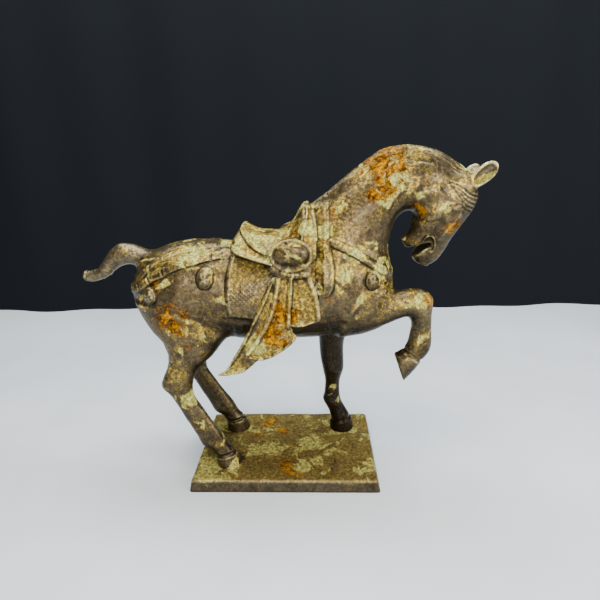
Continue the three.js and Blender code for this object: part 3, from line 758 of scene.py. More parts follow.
def collar_shape(x, y, z, skin_below):
    """A flattened tube along a line, puckered along its length, over a gathered oval."""
    depth = np.abs(y)
    distance, along = to_line(x, z, COLLAR_LINE)
    pucker = 0.22 * np.sin(along * 0.9 + 0.4) + 0.15 * np.sin(along * 2.1)
    tube = np.hypot(distance / 1.25, (depth - 43.0) / 1.4) - (1.7 + pucker)
    gather = np.maximum(np.hypot((x - 10) / 15.5, (z - 194) / 6.5) - 1, (depth - 44.5) / 8) * 6
    return melt(tube, gather, 1.2)


for word, side in SIDES:
    corners = on_side(side, (-12, 32), (30, 56), (180, 222))
    lay_on(f"cover_knot_{word}", *corners, collar_shape, blend=0.6)
    lay_on(f"cover_knot_{word}", *corners, knot_shape, blend=0.6)

# %% [markdown]
# ## Girth and plug
# The girth is a plain band under the belly, and a flat plug closes the hole where the core
# was taken out. Both are raised from the skin, because they lie flush on it.

# %% Girth and core plug


def girth(x, y, z, skin_below):
    """A band 9 mm wide across the belly, 0.5 mm thick."""
    return carve(skin_below - 0.5, np.abs(x + 33) - 4.5 + 0 * z, 1.0)


def plug(x, y, z, skin_below):
    """A disc 18 mm across under the belly, 0.6 mm thick."""
    return carve(skin_below - 0.6, np.hypot(x + 10, y) - 9.0 + 0 * z, 0.5)


lay_on("saddle_cloth", (-42, -44, 118), (-24, 44, 156), girth)
lay_on("core_plug", (-22, -12, 118), (2, 12, 132), plug)

# %% [markdown]
# ## Head
# The brow is wrinkled in five curved grooves, the cheek is a round plate of muscle, the
# nostril is a raised comma and the mouth is open, as on the old tomb horses. In wax these
# were pressed in or rolled on, so each is a small rise or fall of the skin. Only the mouth
# is deep enough to be cut out.

# %% Face
WRINKLES = [
    [(130.8, 253.0), (138.5, 250.1), (146.6, 244.4), (154, 242.4)],
    [(131.9, 251.1), (138.8, 247.3), (144.9, 242.1), (153.5, 239.3)],
    [(133.4, 249.7), (139.0, 244.5), (144.2, 239.3), (152.5, 236.2)],
    [(135.0, 247.4), (139.2, 241.9), (143.5, 236.4), (151.3, 233.4)],
    [(137.1, 244.6), (140.4, 239.0), (143.2, 234.0), (149.6, 231.0)],
]
EYELID = [(132.8, 236.5), (137.5, 238.4), (142.5, 236)]
FACE_CREST = [(140.5, 228), (133, 218), (127, 209)]
FACE_HOLLOW = [(127, 224), (122, 214), (118, 207)]
NOSTRIL = [(114.0, 208.0), (117.0, 211.6), (121.0, 211.2), (123.5, 206.5), (123.2, 201)]
NOSTRIL += [(120.5, 198)]
MOUTH_LINE = [(117.5, 203.8), (112.5, 202), (108, 199.5), (103.5, 196.5), (95, 192)]
LIP_LINE = [(118.5, 207), (113, 206.3), (108, 202.6)]


def face_relief(x, y, z):
    """The sum of ridges along lines, of swellings such as 2 (1 - (r / 13.5)^4) for the jaw,
    and of falls, which are below zero. Most fade out towards the centre plane."""
    side = np.clip((np.abs(y) - 3) / 5, 0, 1)
    wrinkles = -ridges(x, z, [(line, 2.4, 0.8) for line in WRINKLES])
    cheek = np.hypot(x - 117.5, z - 237)
    jaw = 2.0 * np.clip(1 - (cheek / 13.5) ** 4, 0, 1) * side
    jaw_rim = -0.35 * bump(cheek - 14.0, 5.0) * side * np.clip((246 - z) / 6, 0, 1)
    eye = np.hypot((x - 137.5) / 4.2, (z - 233.5) / 3.0)
    ball = 0.7 * np.clip(1 - eye**2, 0, 1) * side
    lid = ridge(x, z, EYELID, 3.0) * 0.4 * side
    crest = ridge(x, z, FACE_CREST, 7) * side
    hollow = -ridge(x, z, FACE_HOLLOW, 8) * 0.9 * side
    nostril = ridge(x, z, NOSTRIL, 3.2) * 1.7
    nostril_pit = -bump(np.hypot(x - 119.3, z - 204.2), 5.5) * 2.2
    return wrinkles + jaw + jaw_rim + ball + lid + crest + hollow + nostril + nostril_pit


def mouth(x, y, z, skin_below):
    """A slot right through the muzzle, whose half width grows with the way along its line."""
    distance, along = to_line(x, z, MOUTH_LINE)
    return distance - np.clip(1.6 + 0.22 * along, 0, 6) + 0 * y


def lips(x, y, z):
    """A ridge 0.8 mm high over the upper edge of the mouth."""
    return ridge(x, z, LIP_LINE, 2.6) * 0.8


raise_skin((96, -24, 176), (158, 24, 262), face_relief)
press_in((96, -24, 180), (122, 24, 212), mouth, blend=1.0)
raise_skin((100, -24, 190), (124, 24, 214), lips)
print("face modelled with", len(WRINKLES), "wrinkles on the brow")

# %% [markdown]
# The ears are pricked, and open forwards and out like cups. A leaf of solid wax with a
# thumb pressed into it gives that shape, and the fields do the same: an ellipsoid with a
# smaller one taken from its open side.

# %% Ears
EAR_TILT, EAR_TURN = 0.77, 0.25
EARS = (("near", -1, 155.4, 257), ("far", 1, 150.5, 254.5))


def ellipsoid(a, b, c, half_a, half_b, half_c):
    """0 on the surface of an ellipsoid, -1 in its middle: the length of (a, b, c) measured
    in its half axes, less 1."""
    return np.sqrt((a / half_a) ** 2 + (b / half_b) ** 2 + (c / half_c) ** 2) - 1


def ear_shape(side, x0, z0):
    """A leaf less a cup, both pinched towards the tip. The window's axes are first turned
    round the vertical and then tilted, to run along, across and out of the ear."""
    turn = EAR_TURN * side

    def shape(x, y, z, skin_below):
        px, py, pz = x - x0, y - 9.5 * side, z - z0
        forwards = px * math.cos(turn) + py * math.sin(turn)
        out = (-px * math.sin(turn) + py * math.cos(turn)) * side
        along = forwards * math.cos(EAR_TILT) + pz * math.sin(EAR_TILT)
        across = -forwards * math.sin(EAR_TILT) + pz * math.cos(EAR_TILT)
        pinch = 1 + 0.018 * np.clip(along, -13, 9)
        leaf = ellipsoid(along, across, out, 13.9, 6.3 * pinch, 4.6) * 4.6
        cup = ellipsoid(along - 1.8, across + 0.3, out - 3.6, 10.6, 4.8 * pinch, 6.0) * 4.6
        return carve(leaf, -cup, 1.2)

    return shape


for word, side, x0, z0 in EARS:
    corners = on_side(side, (138, 172), (0, 26), (240, 276))
    lay_on(f"ear_{word}", *corners, ear_shape(side, x0, z0), blend=2.5)

# %% [markdown]
# ## Mane and tail
# The mane lies as a cord along the crest, with a groove on each side of it that sets it off
# from the neck. Three rings are cut round the tail where it is bound.

# %% Mane groove and tail rings
CREST_LINE = [(34, 230), (46, 241), (60, 253), (72, 264), (82, 271.5), (94, 274.5)]
CREST_LINE += [(103.7, 275.4), (113.3, 274.6), (126.6, 268.3), (139.2, 259)]
TAIL_RINGS = [(-156.5, 181), (-152.2, 186.0), (-147.5, 191.2)]
TAIL_RUN = (0.72, 0.69)


def crest_groove(x, y, z):
    """A groove 0.5 mm deep along the crest, fading out over the crest itself."""
    return -ridge(x, z, CREST_LINE, 2.6) * 0.5 * np.clip((np.abs(y) - 1.5) / 2, 0, 1)


def tail_relief(x, y, z):
    """At each ring, a groove square to the tail and a slight swelling beside it."""
    total = 0.0
    for cx, cz in TAIL_RINGS:
        run = (x - cx) * TAIL_RUN[0] + (z - cz) * TAIL_RUN[1] + 0 * y
        total = total - bump(run, 1.8) * 0.5 + bump(run - 1.6, 2.0) * 0.15
    return total


raise_skin((24, -16, 222), (150, 16, 284), crest_groove)
raise_skin((-166, -14, 168), (-136, 14, 206), tail_relief)
print("crest groove cut, and", len(TAIL_RINGS), "tail rings")

# %% [markdown]
# ## Legs
# The hooves flare under a raised coronet, the knees and fetlocks are knuckled, and the
# muscles of the shoulder and thigh are only hinted at. The stations give the limbs their
# run, so all that is left is low relief, added to the skin like the face.

# %% Hooves, joints and muscles
SOLES = [(-52, -27.5), (-52, 27.5), (53, 28)]


def hoof_relief(x, y, z):
    """Going up: a flare at the sole, the coronet and a groove over it, both leaning."""
    height = z - PLATE_TOP
    leaning = height - 0.16 * (x - x.mean())
    coronet = bump(leaning - 9.3, 3.2) * 1.4
    under = -bump(leaning - 12.6, 2.6) * 1.1
    flare = np.clip(1 - height / 7, 0, 1) * 0.7
    return coronet + under + flare + 0 * y


def raised_hoof(x, y, z):
    """The coronet runs across the raised leg, square to the hoof's own axis."""
    run = (x - 113) * 0.55 + (z - 110) * 0.83 + 0 * y
    return bump(run, 3.2) * 0.9 - bump(run - 3.0, 2.6) * 0.7


def muscles(x, y, z):
    """Ridges and grooves along the muscles, fading out towards the centre plane."""
    flank = np.clip((np.abs(y) - 14) / 8, 0, 1)
    thigh = ridge(x, z, [(-52, 140), (-62, 148), (-78, 156), (-96, 160)], 8) * -0.8
    stifle = bump(np.hypot(x + 54, z - 134), 22) * 1.2
    gaskin = ridge(x, z, [(-84, 120), (-92, 108), (-97, 98)], 6) * -0.7
    shoulder = ridge(x, z, [(52, 196), (60, 182), (60, 166), (52, 152)], 12) * 0.9
    arm = ridge(x, z, [(62, 158), (74, 168), (88, 172)], 10) * -0.5
    elbow = bump(np.hypot(x - 50, z - 138), 18) * 0.8
    return (thigh + stifle + gaskin + shoulder + arm + elbow) * flank


def knuckles(x, y, z):
    """Round swellings at the hocks, the raised knee and the back of the standing one."""
    hock = bump(np.hypot(x + 100, z - 88), 12) * 0.8
    knee = bump(np.hypot(x - 119, z - 166), 16) * (y < 0)
    back_of_knee = bump(np.hypot(x - 46, z - 76), 20) * 0.5 * (y > 0)
    return hock + knee + back_of_knee


for cx, cy in SOLES:
    raise_skin((cx - 16, cy - 14, PLATE_TOP - 4), (cx + 16, cy + 14, PLATE_TOP + 22), hoof_relief)
raise_skin((88, -36, 90), (128, -10, 126), raised_hoof)
raise_skin((-120, -46, 90), (100, 46, 205), muscles)
raise_skin((-112, -40, 76), (130, 40, 182), knuckles)
print("legs modelled, standing on", len(SOLES), "hooves")

# %% [markdown]
# ## From field to skin
# OpenVDB draws a quad in every cell that the surface crosses. The result is one closed,
# evenly meshed skin, which later steps can roughen, colour and cut up. A remesh modifier
# would do much the same, but here the points stay in numpy for what follows.

# %% Polygons of the skin
REACH = 3.0


def face_normals(p, q):
    """The cross product of each quad's diagonals, not scaled to 1."""
    return np.cross(p[q[:, 2]] - p[q[:, 0]], p[q[:, 3]] - p[q[:, 1]])


def signed_volume(p, q):
    """A third of the sum over faces of centre . normal area: above zero if faces look out."""
    return (p[q].mean(1) * face_normals(p, q) / 2).sum() / 3


def drawn_skin(field, step, low):
    """Points in mm and outward-facing quads of the surface where a distance field is 0."""
    grid = vdb.FloatGrid(REACH)
    grid.copyFromArray(np.clip(field, -REACH, REACH).astype(np.float32))
    p, _, q = grid.convertToPolygons(isovalue=0.0, adaptivity=0.0)
    p, q = p.astype(float) * step + low, q.astype(np.int64)
    return p, q[:, ::-1] if signed_volume(p, q) < 0 else q


points, quads = drawn_skin(skin, FINE, GRID_LOW)
print("skin of", len(points), "points and", len(quads), "quads")
print("it encloses", round(signed_volume(points, quads) / 1000), "cubic cm")

# %% [markdown]
# ## Dents, pores and casting marks
# Hand-smoothed wax is never a clean curve. Bump in the material would not change the outline
# or the exported mesh, so the skin itself is moved by smooth random fields on a lattice, by
# a few hundredths of a millimetre to a third. Pits are where one of the fields is highest.

# %% Roughening the skin


def summed_at_points(per_quad, q, count):
    """For each point, the sum of a row of values over the quads round it."""
    corners = q.ravel()
    sums = [np.bincount(corners, np.repeat(v, 4), minlength=count) for v in per_quad.T]
    return np.stack(sums, axis=1)


def point_normals(p, q):
    """Each point's normal: the sum of the normals of the quads round it, scaled to 1."""
    total = summed_at_points(face_normals(p, q), q, len(p))
    return total / np.maximum(np.linalg.norm(total, axis=1, keepdims=True), 1e-12)


def lattice_noise(p, cell, seed):
    """Value noise from -1 to 1: random numbers on a cubic lattice of the given cell, mixed
    between the eight corners by s = 3t^2 - 2t^3."""
    table = np.random.default_rng(seed).uniform(-1, 1, (64, 64, 64)).astype(np.float32)
    q = p / cell + 1000.0
    lowest = np.floor(q).astype(int)
    t = q - lowest
    s = t * t * (3 - 2 * t)
    total = np.zeros(len(p))
    for corner in np.ndindex(2, 2, 2):
        weight = np.where(corner, s, 1 - s).prod(axis=1)
        total += weight * table[tuple(((lowest + corner) % 64).T)]
    return total


normals = point_normals(points, quads)
dents = 0.22 * lattice_noise(points, 14, 1) + 0.14 * lattice_noise(points, 6.5, 2)
grain = 0.07 * lattice_noise(points, 2.6, 3)
pits = np.clip(lattice_noise(points, 3.4, 4) - 0.55, 0, 1) * -0.9
points += normals * (dents + grain + pits)[:, None]
print("roughened by up to", round(float(np.abs(dents + grain + pits).max()), 2), "mm")

# %% [markdown]
# Grime gathers in hollows and edges are rubbed bright. How hollow a place is comes from the
# skin itself: average it over its neighbours a few times, and see which way it has moved.
# This holds in the exported model too, where a renderer's own measure of edges would not.

# %% How hollow each place is


def neighbour_mean(values, q, times):
    """The values averaged over the quads round each point, several times over."""
    uses = np.bincount(q.ravel(), minlength=len(values))
    for _ in range(times):
        values = summed_at_points(values[q].mean(1), q, len(values)) / uses[:, None]
    return values


normals = point_normals(points, quads)
near_mean = neighbour_mean(points, quads, 4)
far_mean = neighbour_mean(near_mean, quads, 16)
sharp_hollow = ((near_mean - points) * normals).sum(1)
broad_hollow = ((far_mean - points) * normals).sum(1)
hollow = np.clip(0.5 + 1.3 * sharp_hollow + 0.3 * broad_hollow, 0, 1)
print("hollow from", hollow.min().round(2), "to", hollow.max().round(2))

# %% [markdown]
# ## Cutting the skin into pieces
# The straps and covers already own their places on the grid. The plain casting is divided
# along the lines where a founder joins wax limbs: straight cuts seen from the side. Boolean
# cuts would do it too, but slowly, and they would leave new edges to clean up.

# %% Which piece each quad belongs to


def beyond(x, z, start, end):
    """True to the right of the side-view line from start to end."""
    (ax, az), (bx, bz) = start, end
    return (bx - ax) * (z - az) - (bz - az) * (x - ax) < 0


centres = points[quads].mean(1)
cell = np.clip(np.rint((centres - GRID_LOW) / FINE).astype(int), 0, np.array(owner.shape) - 1)
label = owner[tuple(cell.T)].astype(int)
x, y, z = centres.T
CASTINGS = ["barrel", "neck", "mane", "head", "tail", "foreleg_near_raised", "foreleg_far"]
CASTINGS += ["hindleg_near", "hindleg_far"]
NAMES = OWNERS + CASTINGS
plain = label == 0
crest_z = np.interp(x, *np.array(CREST_LINE).T)
cuts = {
    "barrel": plain,
    "foreleg_far": (y > 6) & (z < 134) & (x > 12) & (x < 82),
    "foreleg_near_raised": (y < -6) & (z < 174) & ~beyond(x, z, (56, 124), (87, 176)) & (x > 40),
    "hindleg_near": beyond(x, z, (-130, 152), (-38, 128)) & (y < 0) & (x < -36),
    "hindleg_far": beyond(x, z, (-130, 152), (-38, 128)) & (y >= 0) & (x < -36),
    "tail": ~beyond(x, z, (-126, 178), (-108, 208)) & (z > 176) & (x < -105),
    "neck": ~beyond(x, z, (26, 238), (94, 184)) & (x > 20) & (z > 184),
    "mane": (z > crest_z - 0.6) & (np.abs(y) < 6) & (x > 27) & (x < 146) & (z > 226),
    "head": beyond(x, z, (137, 272), (103, 218)) & (x > 92) & (z > 184),
}
for name, inside in cuts.items():
    label[plain & inside] = NAMES.index(name)
print({NAMES[k]: int((label == k).sum()) for k in np.unique(label)})

# %% [markdown]
# Where two labels meet the edge is ragged, one quad in and one out. Spreading each label
# over its neighbours and keeping the strongest gives clean lines, and drops lone quads.

# %% Clean lines between pieces


def spread(share, times):
    """A value per quad, averaged over the points it touches and back, several times."""
    uses = np.bincount(quads.ravel(), minlength=len(points))
    for _ in range(times):
        at_points = np.bincount(quads.ravel(), np.repeat(share, 4), minlength=len(points)) / uses
        share = at_points[quads].mean(1)
    return share


strongest = np.zeros(len(quads))
tidy_label = label.copy()
for k in np.unique(label):
    share = spread((label == k).astype(float), 3)
    tidy_label[share > strongest] = k
    strongest = np.maximum(strongest, share)
print("quads that changed piece:", int((tidy_label != label).sum()))

# %% [markdown]
# ## Where the colour lies
# Buried bronze does not tarnish evenly. Orange rust from iron in the soil sits in a few places and
# pale verdigris in others, and some places stay bare of it. Shade is painted into the colour as
# well: the belly, the far legs and a few folds are painted darker where shade falls, as are places
# where the skin faces down. Painting these by hand would need an image. Instead each is a short
# list of soft spots, x, y, z and size, worked out at every point of the skin, and the material
# gives them ragged edges. BARE is taken away from GREEN, and a last list of spots adds to the
# painted shade.

# %% Spots of rust and verdigris, and painted shade
RUST = [(80, -13, 266, 14), (87, -6, 277, 9), (79, -17, 254, 10), (-88, -35, 153, 10)]
RUST += [(-79, -33, 129, 6), (3.5, -47, 161, 9), (-6, -46, 143, 9), (118, -30, 168, 7)]
RUST += [(39, -40, 169, 3), (6, -30, 216, 7), (138, -13, 218, 8), (107, -15, 232, 6)]
RUST += [(59, -36, 161, 3), (40, -20, 236, 6), (2, -31, 11, 9), (-20, 36, 11, 9)]
RUST += [(-6, 21, 11, 7), (9, -42, 11, 6), (-31, 13, 11, 6), (-2, -47, 137, 7), (-95, -28, 176, 6)]
RUST += [(70, 20, 262, 10), (-70, 36, 150, 10), (20, 47, 150, 9), (-40, 20, 205, 6)]
GREEN = [(88, -16, 254, 11), (78, -18, 240, 9), (48, -20, 237, 7), (64, -34, 206, 10)]
GREEN += [(52, -40, 189, 8), (101, -16, 245, 8), (128, -14, 233, 5), (153, -13, 255, 5)]
GREEN += [(106, -33, 167, 9), (110, -32, 132, 9), (85, -32, 162, 6), (57, -40, 153, 8)]
GREEN += [(-83, -30, 77, 9), (-91, -30, 57, 7), (-51, -34, 31, 5), (-70, -20, 199, 9)]
GREEN += [(-45, -45, 113, 12), (-21, -46, 133, 9), (47, -42, 176, 7), (10, -50, 206, 7)]
GREEN += [(31, -28, 222, 9), (77, -28, 190, 10), (46, 20, 60, 12), (50, 20, 46, 10)]
GREEN += [(116, -16, 226, 7), (157, -12, 257, 6), (-13, -20, 217, 8), (24, -28, 222, 6)]
GREEN += [(60, 18, 240, 12), (-20, 44, 175, 12), (-90, 34, 160, 10), (110, 15, 240, 8)]
GREEN += [(-12, -7, 11, 8), (24, 1, 11, 9), (44, 17, 11, 6), (-68, -32, 11, 9), (17, -32, 11, 8)]
GREEN += [(-48, -32, 11, 6), (-30, -11, 11, 6), (-70, -45, 11, 7), (64, -38, 11, 5)]
BARE = [(63, -22, 233, 12), (78, -20, 223, 9), (57, -30, 215, 7), (124, -6, 264, 15)]
BARE += [(116, -16, 231, 6), (113, -14, 219, 6), (123, -9, 200, 7), (64, -36, 180, 7)]
BARE += [(47, -40, 159, 9), (-68, -37, 176, 13), (-55, -38, 157, 9), (79, -33, 162, 9)]
BARE += [(-96, -33, 121, 7), (98, -30, 169, 6), (97, -16, 241, 6), (80, 20, 225, 12)]
BARE += [(-60, 38, 170, 14), (40, 40, 160, 10)]
BARE += [(51, -35, 11, 12), (-29, -39, 11, 9), (62, -3, 11, 9), (6, 25, 11, 8), (52, 34, 11, 8)]
# Spots of painted shade: the muzzle, the raised hoof, the neck, the arm, the knot, the near hind
# leg and a few more.
PAINTED_SHADE_SPOTS = [(112, -10, 203, 12), (100, -30, 106, 10), (68, -22, 230, 16), (80, -33, 165, 9)]
PAINTED_SHADE_SPOTS += [(10, -50, 206, 7), (-62, -36, 42, 9), (-56, -32, 24, 10), (0, -32, 222, 9)]
PAINTED_SHADE_SPOTS += [(126, -8, 262, 8)]
RUST_REACH = 2.1


def spots(p, centres_and_sizes, reach=1.6):
    """1 at the middle of the nearest spot, falling evenly to 0 at reach times its size."""
    total = np.zeros(len(p))
    for x, y, z, size in centres_and_sizes:
        away = np.linalg.norm(p - (x, y, z), axis=1)
        total = np.maximum(total, 1 - away / (reach * size))
    return total


def shade_of(p, n):
    """Painted shade: how much darker a place is painted, more where the skin faces down, low on
    the legs and behind.
    """
    height = p[:, 2] - PLATE_TOP
    low_flank = np.clip((150 - height) / 28, 0, 1) * np.clip((height - 100) / 8, 0, 1)
    low_flank *= np.clip((p[:, 0] + 66) / 20, 0, 1) * np.clip((43 - abs(p[:, 1])) / 3, 0, 1)
    below = np.clip(0.1 - n[:, 2] * 1.5, 0, 1) + 0.5 * low_flank
    far_side = np.clip((p[:, 1] - 4) / 10, 0, 1) * np.clip((135 - height) / 25, 0, 1)
    far_fore = far_side * np.clip(p[:, 0] / 20, 0, 1) * np.clip((height - 35) / 35, 0, 1)
    low_legs = 0.3 * np.clip((110 - height) / 60, 0, 1)
    dim = 0.55 * spots(p, PAINTED_SHADE_SPOTS)
    return np.clip(below + 0.35 * far_side + far_fore + low_legs + dim, 0, 1)


smooth_normals = neighbour_mean(normals, quads, 6)
FEATURES = {
    "hollow": hollow,
    "rust": spots(points, RUST, RUST_REACH),
    "green": spots(points, GREEN) - spots(points, BARE),
    "shade": shade_of(points, smooth_normals),
}
print({name: float(values.mean().round(3)) for name, values in FEATURES.items()})

# %% [markdown]
# ## Closed pieces
# The real bronze is hollow, so each piece is a wall: its own part of the skin, the same
# part again moved inwards, and a rim of quads that joins the two round the edge. The rims
# of neighbours meet, and both keep the normals of the whole skin, so no seam shows.

# %% Building meshes from arrays


def build_mesh(name, p, faces, features=None):
    """A mesh object from points in mm and faces as an array of corners, all of one length."""
    mesh = bpy.data.meshes.new(name)
    mesh.vertices.add(len(p))
    mesh.vertices.foreach_set("co", (p / 1000).astype(np.float32).ravel())
    mesh.loops.add(faces.size)
    mesh.loops.foreach_set("vertex_index", faces.astype(np.int32).ravel())
    mesh.polygons.add(len(faces))
    starts = np.arange(0, faces.size, faces.shape[1], dtype=np.int32)
    mesh.polygons.foreach_set("loop_start", starts)
    mesh.update(calc_edges=True)
    for key, values in (features or {}).items():
        attribute = mesh.attributes.new(key, "FLOAT", "POINT")
        attribute.data.foreach_set("value", values.astype(np.float32))
    piece = bpy.data.objects.new(name, mesh)
    bpy.context.collection.objects.link(piece)
    return piece


def shell(name, chosen, wall):
    """A closed wall of the given thickness made from the chosen quads of the skin."""
    used, inverse = np.unique(quads[chosen], return_inverse=True)
    q = inverse.reshape(-1, 4)
    count = len(used)
    inner = points[used] - smooth_normals[used] * wall
    edges = np.stack([q, np.roll(q, -1, axis=1)], axis=-1).reshape(-1, 2)
    free = edges[~np.isin(edges[:, 0] * count + edges[:, 1], edges[:, 1] * count + edges[:, 0])]
    rim = np.column_stack([free[:, 1], free[:, 0], free[:, 0] + count, free[:, 1] + count])
    faces = np.vstack([q, q[:, ::-1] + count, rim])
    doubled = {key: np.tile(values[used], 2) for key, values in FEATURES.items()}
    piece = build_mesh(name, np.vstack([points[used], inner]), faces, doubled)
    both = np.vstack([normals[used], -normals[used]])
    piece.data.normals_split_custom_set_from_vertices(both.tolist())
    return piece


print("ready to cut", len(quads), "quads into", len(np.unique(tidy_label)), "pieces")

# %% [markdown]
# Each piece rides on the one body of this horse and stands for the CAD node of its name.
# Tack was modelled in thin sheets of wax, so its wall is thinner than the limbs'. The barrel
# is one casting but a very dense mesh, so it is made in three parts.

# %% Cutting the skin
WALLS = {"barrel": 2.4, "neck": 2.4, "head": 1.4, "mane": 1.2, "tail": 1.6}
LEG_WALL, TACK_WALL = 1.6, 0.7
BARREL_CUTS = (-38.0, 30.0)
pieces = {}
for k in np.unique(tidy_label):
    name = NAMES[k]
    wall = WALLS.get(name, LEG_WALL if "leg" in name else TACK_WALL)
    chosen = tidy_label == k
    if name == "barrel":
        part = np.digitize(centres[:, 0], BARREL_CUTS)
        for number, word in enumerate(("quarters", "belly", "chest")):
            pieces[f"barrel_{word}"] = shell(f"barrel_{word}", chosen & (part == number), wall)
    else:
        pieces[f"{name}_cast"] = shell(f"{name}_cast", chosen, wall)
for name, piece in pieces.items():
    node = "barrel" if name.startswith("barrel") else name.removesuffix("_cast")
    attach(piece, "root")
    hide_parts(node)
print({name: len(piece.data.polygons) for name, piece in pieces.items()})

# %% [markdown]
# ## The bronze material
# The finish is built up in layers, as on the real metal. A mask says where each layer lies,
# and mixes its colour over those below. All the textures are worked out from the piece's own
# coordinates, so nothing slides or stretches. A few short helpers keep the node trees
# readable: each makes one node and joins it up.

# %% Helpers for node trees


def feed(tree, node, inputs):
    """Sets each input of a node to a value, or joins it to a socket."""
    for key, value in inputs.items():
        if isinstance(value, bpy.types.NodeSocket):
            tree.links.new(value, node.inputs[key])
        else:
            node.inputs[key].default_value = value


def add(tree, kind, inputs=None, **settings):
    """A node with its settings and inputs."""
    node = tree.nodes.new("ShaderNode" + kind)
    for key, value in settings.items():
        setattr(node, key, value)
    feed(tree, node, inputs or {})
    return node


def maths(tree, operation, a, b=0.0, c=0.0):
    """The operation's result on a, b and c."""
    return add(tree, "Math", {0: a, 1: b, 2: c}, operation=operation).outputs[0]


def times(tree, a, b):
    """a b."""
    return maths(tree, "MULTIPLY", a, b)


def scaled(tree, a, by, more):
    """a by + more."""
    return maths(tree, "MULTIPLY_ADD", a, by, more)


def mixed(tree, share, a, b, how="MIX"):
    """The colour a, with its share of colour b laid over it."""
    a, b = ((*v, 1.0) if isinstance(v, tuple) else v for v in (a, b))
    return add(tree, "Mix", {0: share, 6: a, 7: b}, data_type="RGBA", blend_type=how).outputs[2]


def ramped(tree, value, low, high, to_low=0.0, to_high=1.0):
    """A smooth step: to_low where the value is low or less, to_high where it is high."""
    inputs = {0: value, 1: low, 2: high, 3: to_low, 4: to_high}
    return add(tree, "MapRange", inputs, interpolation_type="SMOOTHSTEP").outputs[0]


def noise(tree, size_mm, detail=4.0, rough=0.6, warp=0.0, place=(0, 0, 0)):
    """Noise whose blotches are about size_mm across, in the piece's own coordinates."""
    coords = add(tree, "TexCoord").outputs["Object"]
    moved = add(tree, "VectorMath", {0: coords, 1: place}, operation="ADD").outputs[0]
    inputs = {"Vector": moved, "Scale": 1000 / size_mm, "Detail": detail}
    inputs |= {"Roughness": rough, "Distortion": warp}
    return add(tree, "TexNoise", inputs).outputs[0]


def feature(tree, name):
    """One of the values that were laid down on the skin."""
    return add(tree, "Attribute", attribute_name=name).outputs["Fac"]


def new_group(name, inputs, outputs):
    """An empty group, with the sockets inside it that give its inputs and take its results."""
    group = bpy.data.node_groups.new(name, "ShaderNodeTree")
    for key, value in inputs.items():
        socket = group.interface.new_socket(key, in_out="INPUT", socket_type="NodeSocketFloat")
        socket.default_value = value
    for key, kind in outputs.items():
        group.interface.new_socket(key, in_out="OUTPUT", socket_type="NodeSocket" + kind)
    given, result = group.nodes.new("NodeGroupInput"), group.nodes.new("NodeGroupOutput")
    return group, given.outputs, result.inputs


def new_material(name):
    """A material, its node tree and its Principled shader."""
    material = bpy.data.materials.new(name)
    material.use_nodes = True
    return material, material.node_tree, material.node_tree.nodes["Principled BSDF"]


print("node helpers ready")

# %% [markdown]
# From the metal outwards: dark polished bronze, a brown skin of oxide, tan earth rubbed into it,
# flat scabs of verdigris with gold borders, and mottled crusts of rust in a stain. Hollows keep
# black wax, and ridges are rubbed to bare metal and lightened further with a painted highlight.
# Shade is painted into the colour too. One node group works all of that out, so that the body, the
# tack and the base share it, each with amounts of its own: Earth, Verdigris, Rust and the wear
# amount say how much of each layer, the wear amount also how strong the painted highlight on
# ridges is, Powder how pale the earth and the borders are, Crust how solid the scabs are, the
# polish amount how bright the metal is under them, turned a pale grey that is partly polished
# metal and partly a painted sheen, and Darkness how far hollows and the painted shade go to black.

# %% The patina group
METAL_DARK, METAL_BROWN = (0.07, 0.052, 0.028), (0.15, 0.109, 0.055)
EARTH, EARTH_PALE = (0.235, 0.16, 0.024), (0.74, 0.48, 0.022)
VERDIGRIS, VERDIGRIS_PALE = (0.31, 0.3, 0.07), (0.6, 0.57, 0.14)
GOLD = (0.8, 0.47, 0.025)
RUST_DARK, RUST_ORANGE, RUST_YELLOW = (0.08, 0.028, 0.004), (0.29, 0.11, 0.0), (0.7, 0.34, 0.0)
# The pale gold of rubbed ridges is partly real wear and partly a painted highlight.
BLACK_WAX, RUBBED_AND_HIGHLIGHT = (0.012, 0.01, 0.007), (0.85, 0.72, 0.31)
# The grey of polished metal is partly a painted sheen.
RUST_STAIN, POLISHED_AND_SHEEN = (0.24, 0.085, 0.01), (0.34, 0.29, 0.22)
# The colour that painted shade multiplies in.
DEEP_SHADE = (0.1, 0.09, 0.075)
AMOUNTS = {"Earth": 0.5, "Powder": 0.65, "Verdigris": 0.5, "Rust": 0.5, "Wear": 0.5}
AMOUNTS |= {"Darkness": 1.0, "Polish": 0.0, "Crust": 1.0}


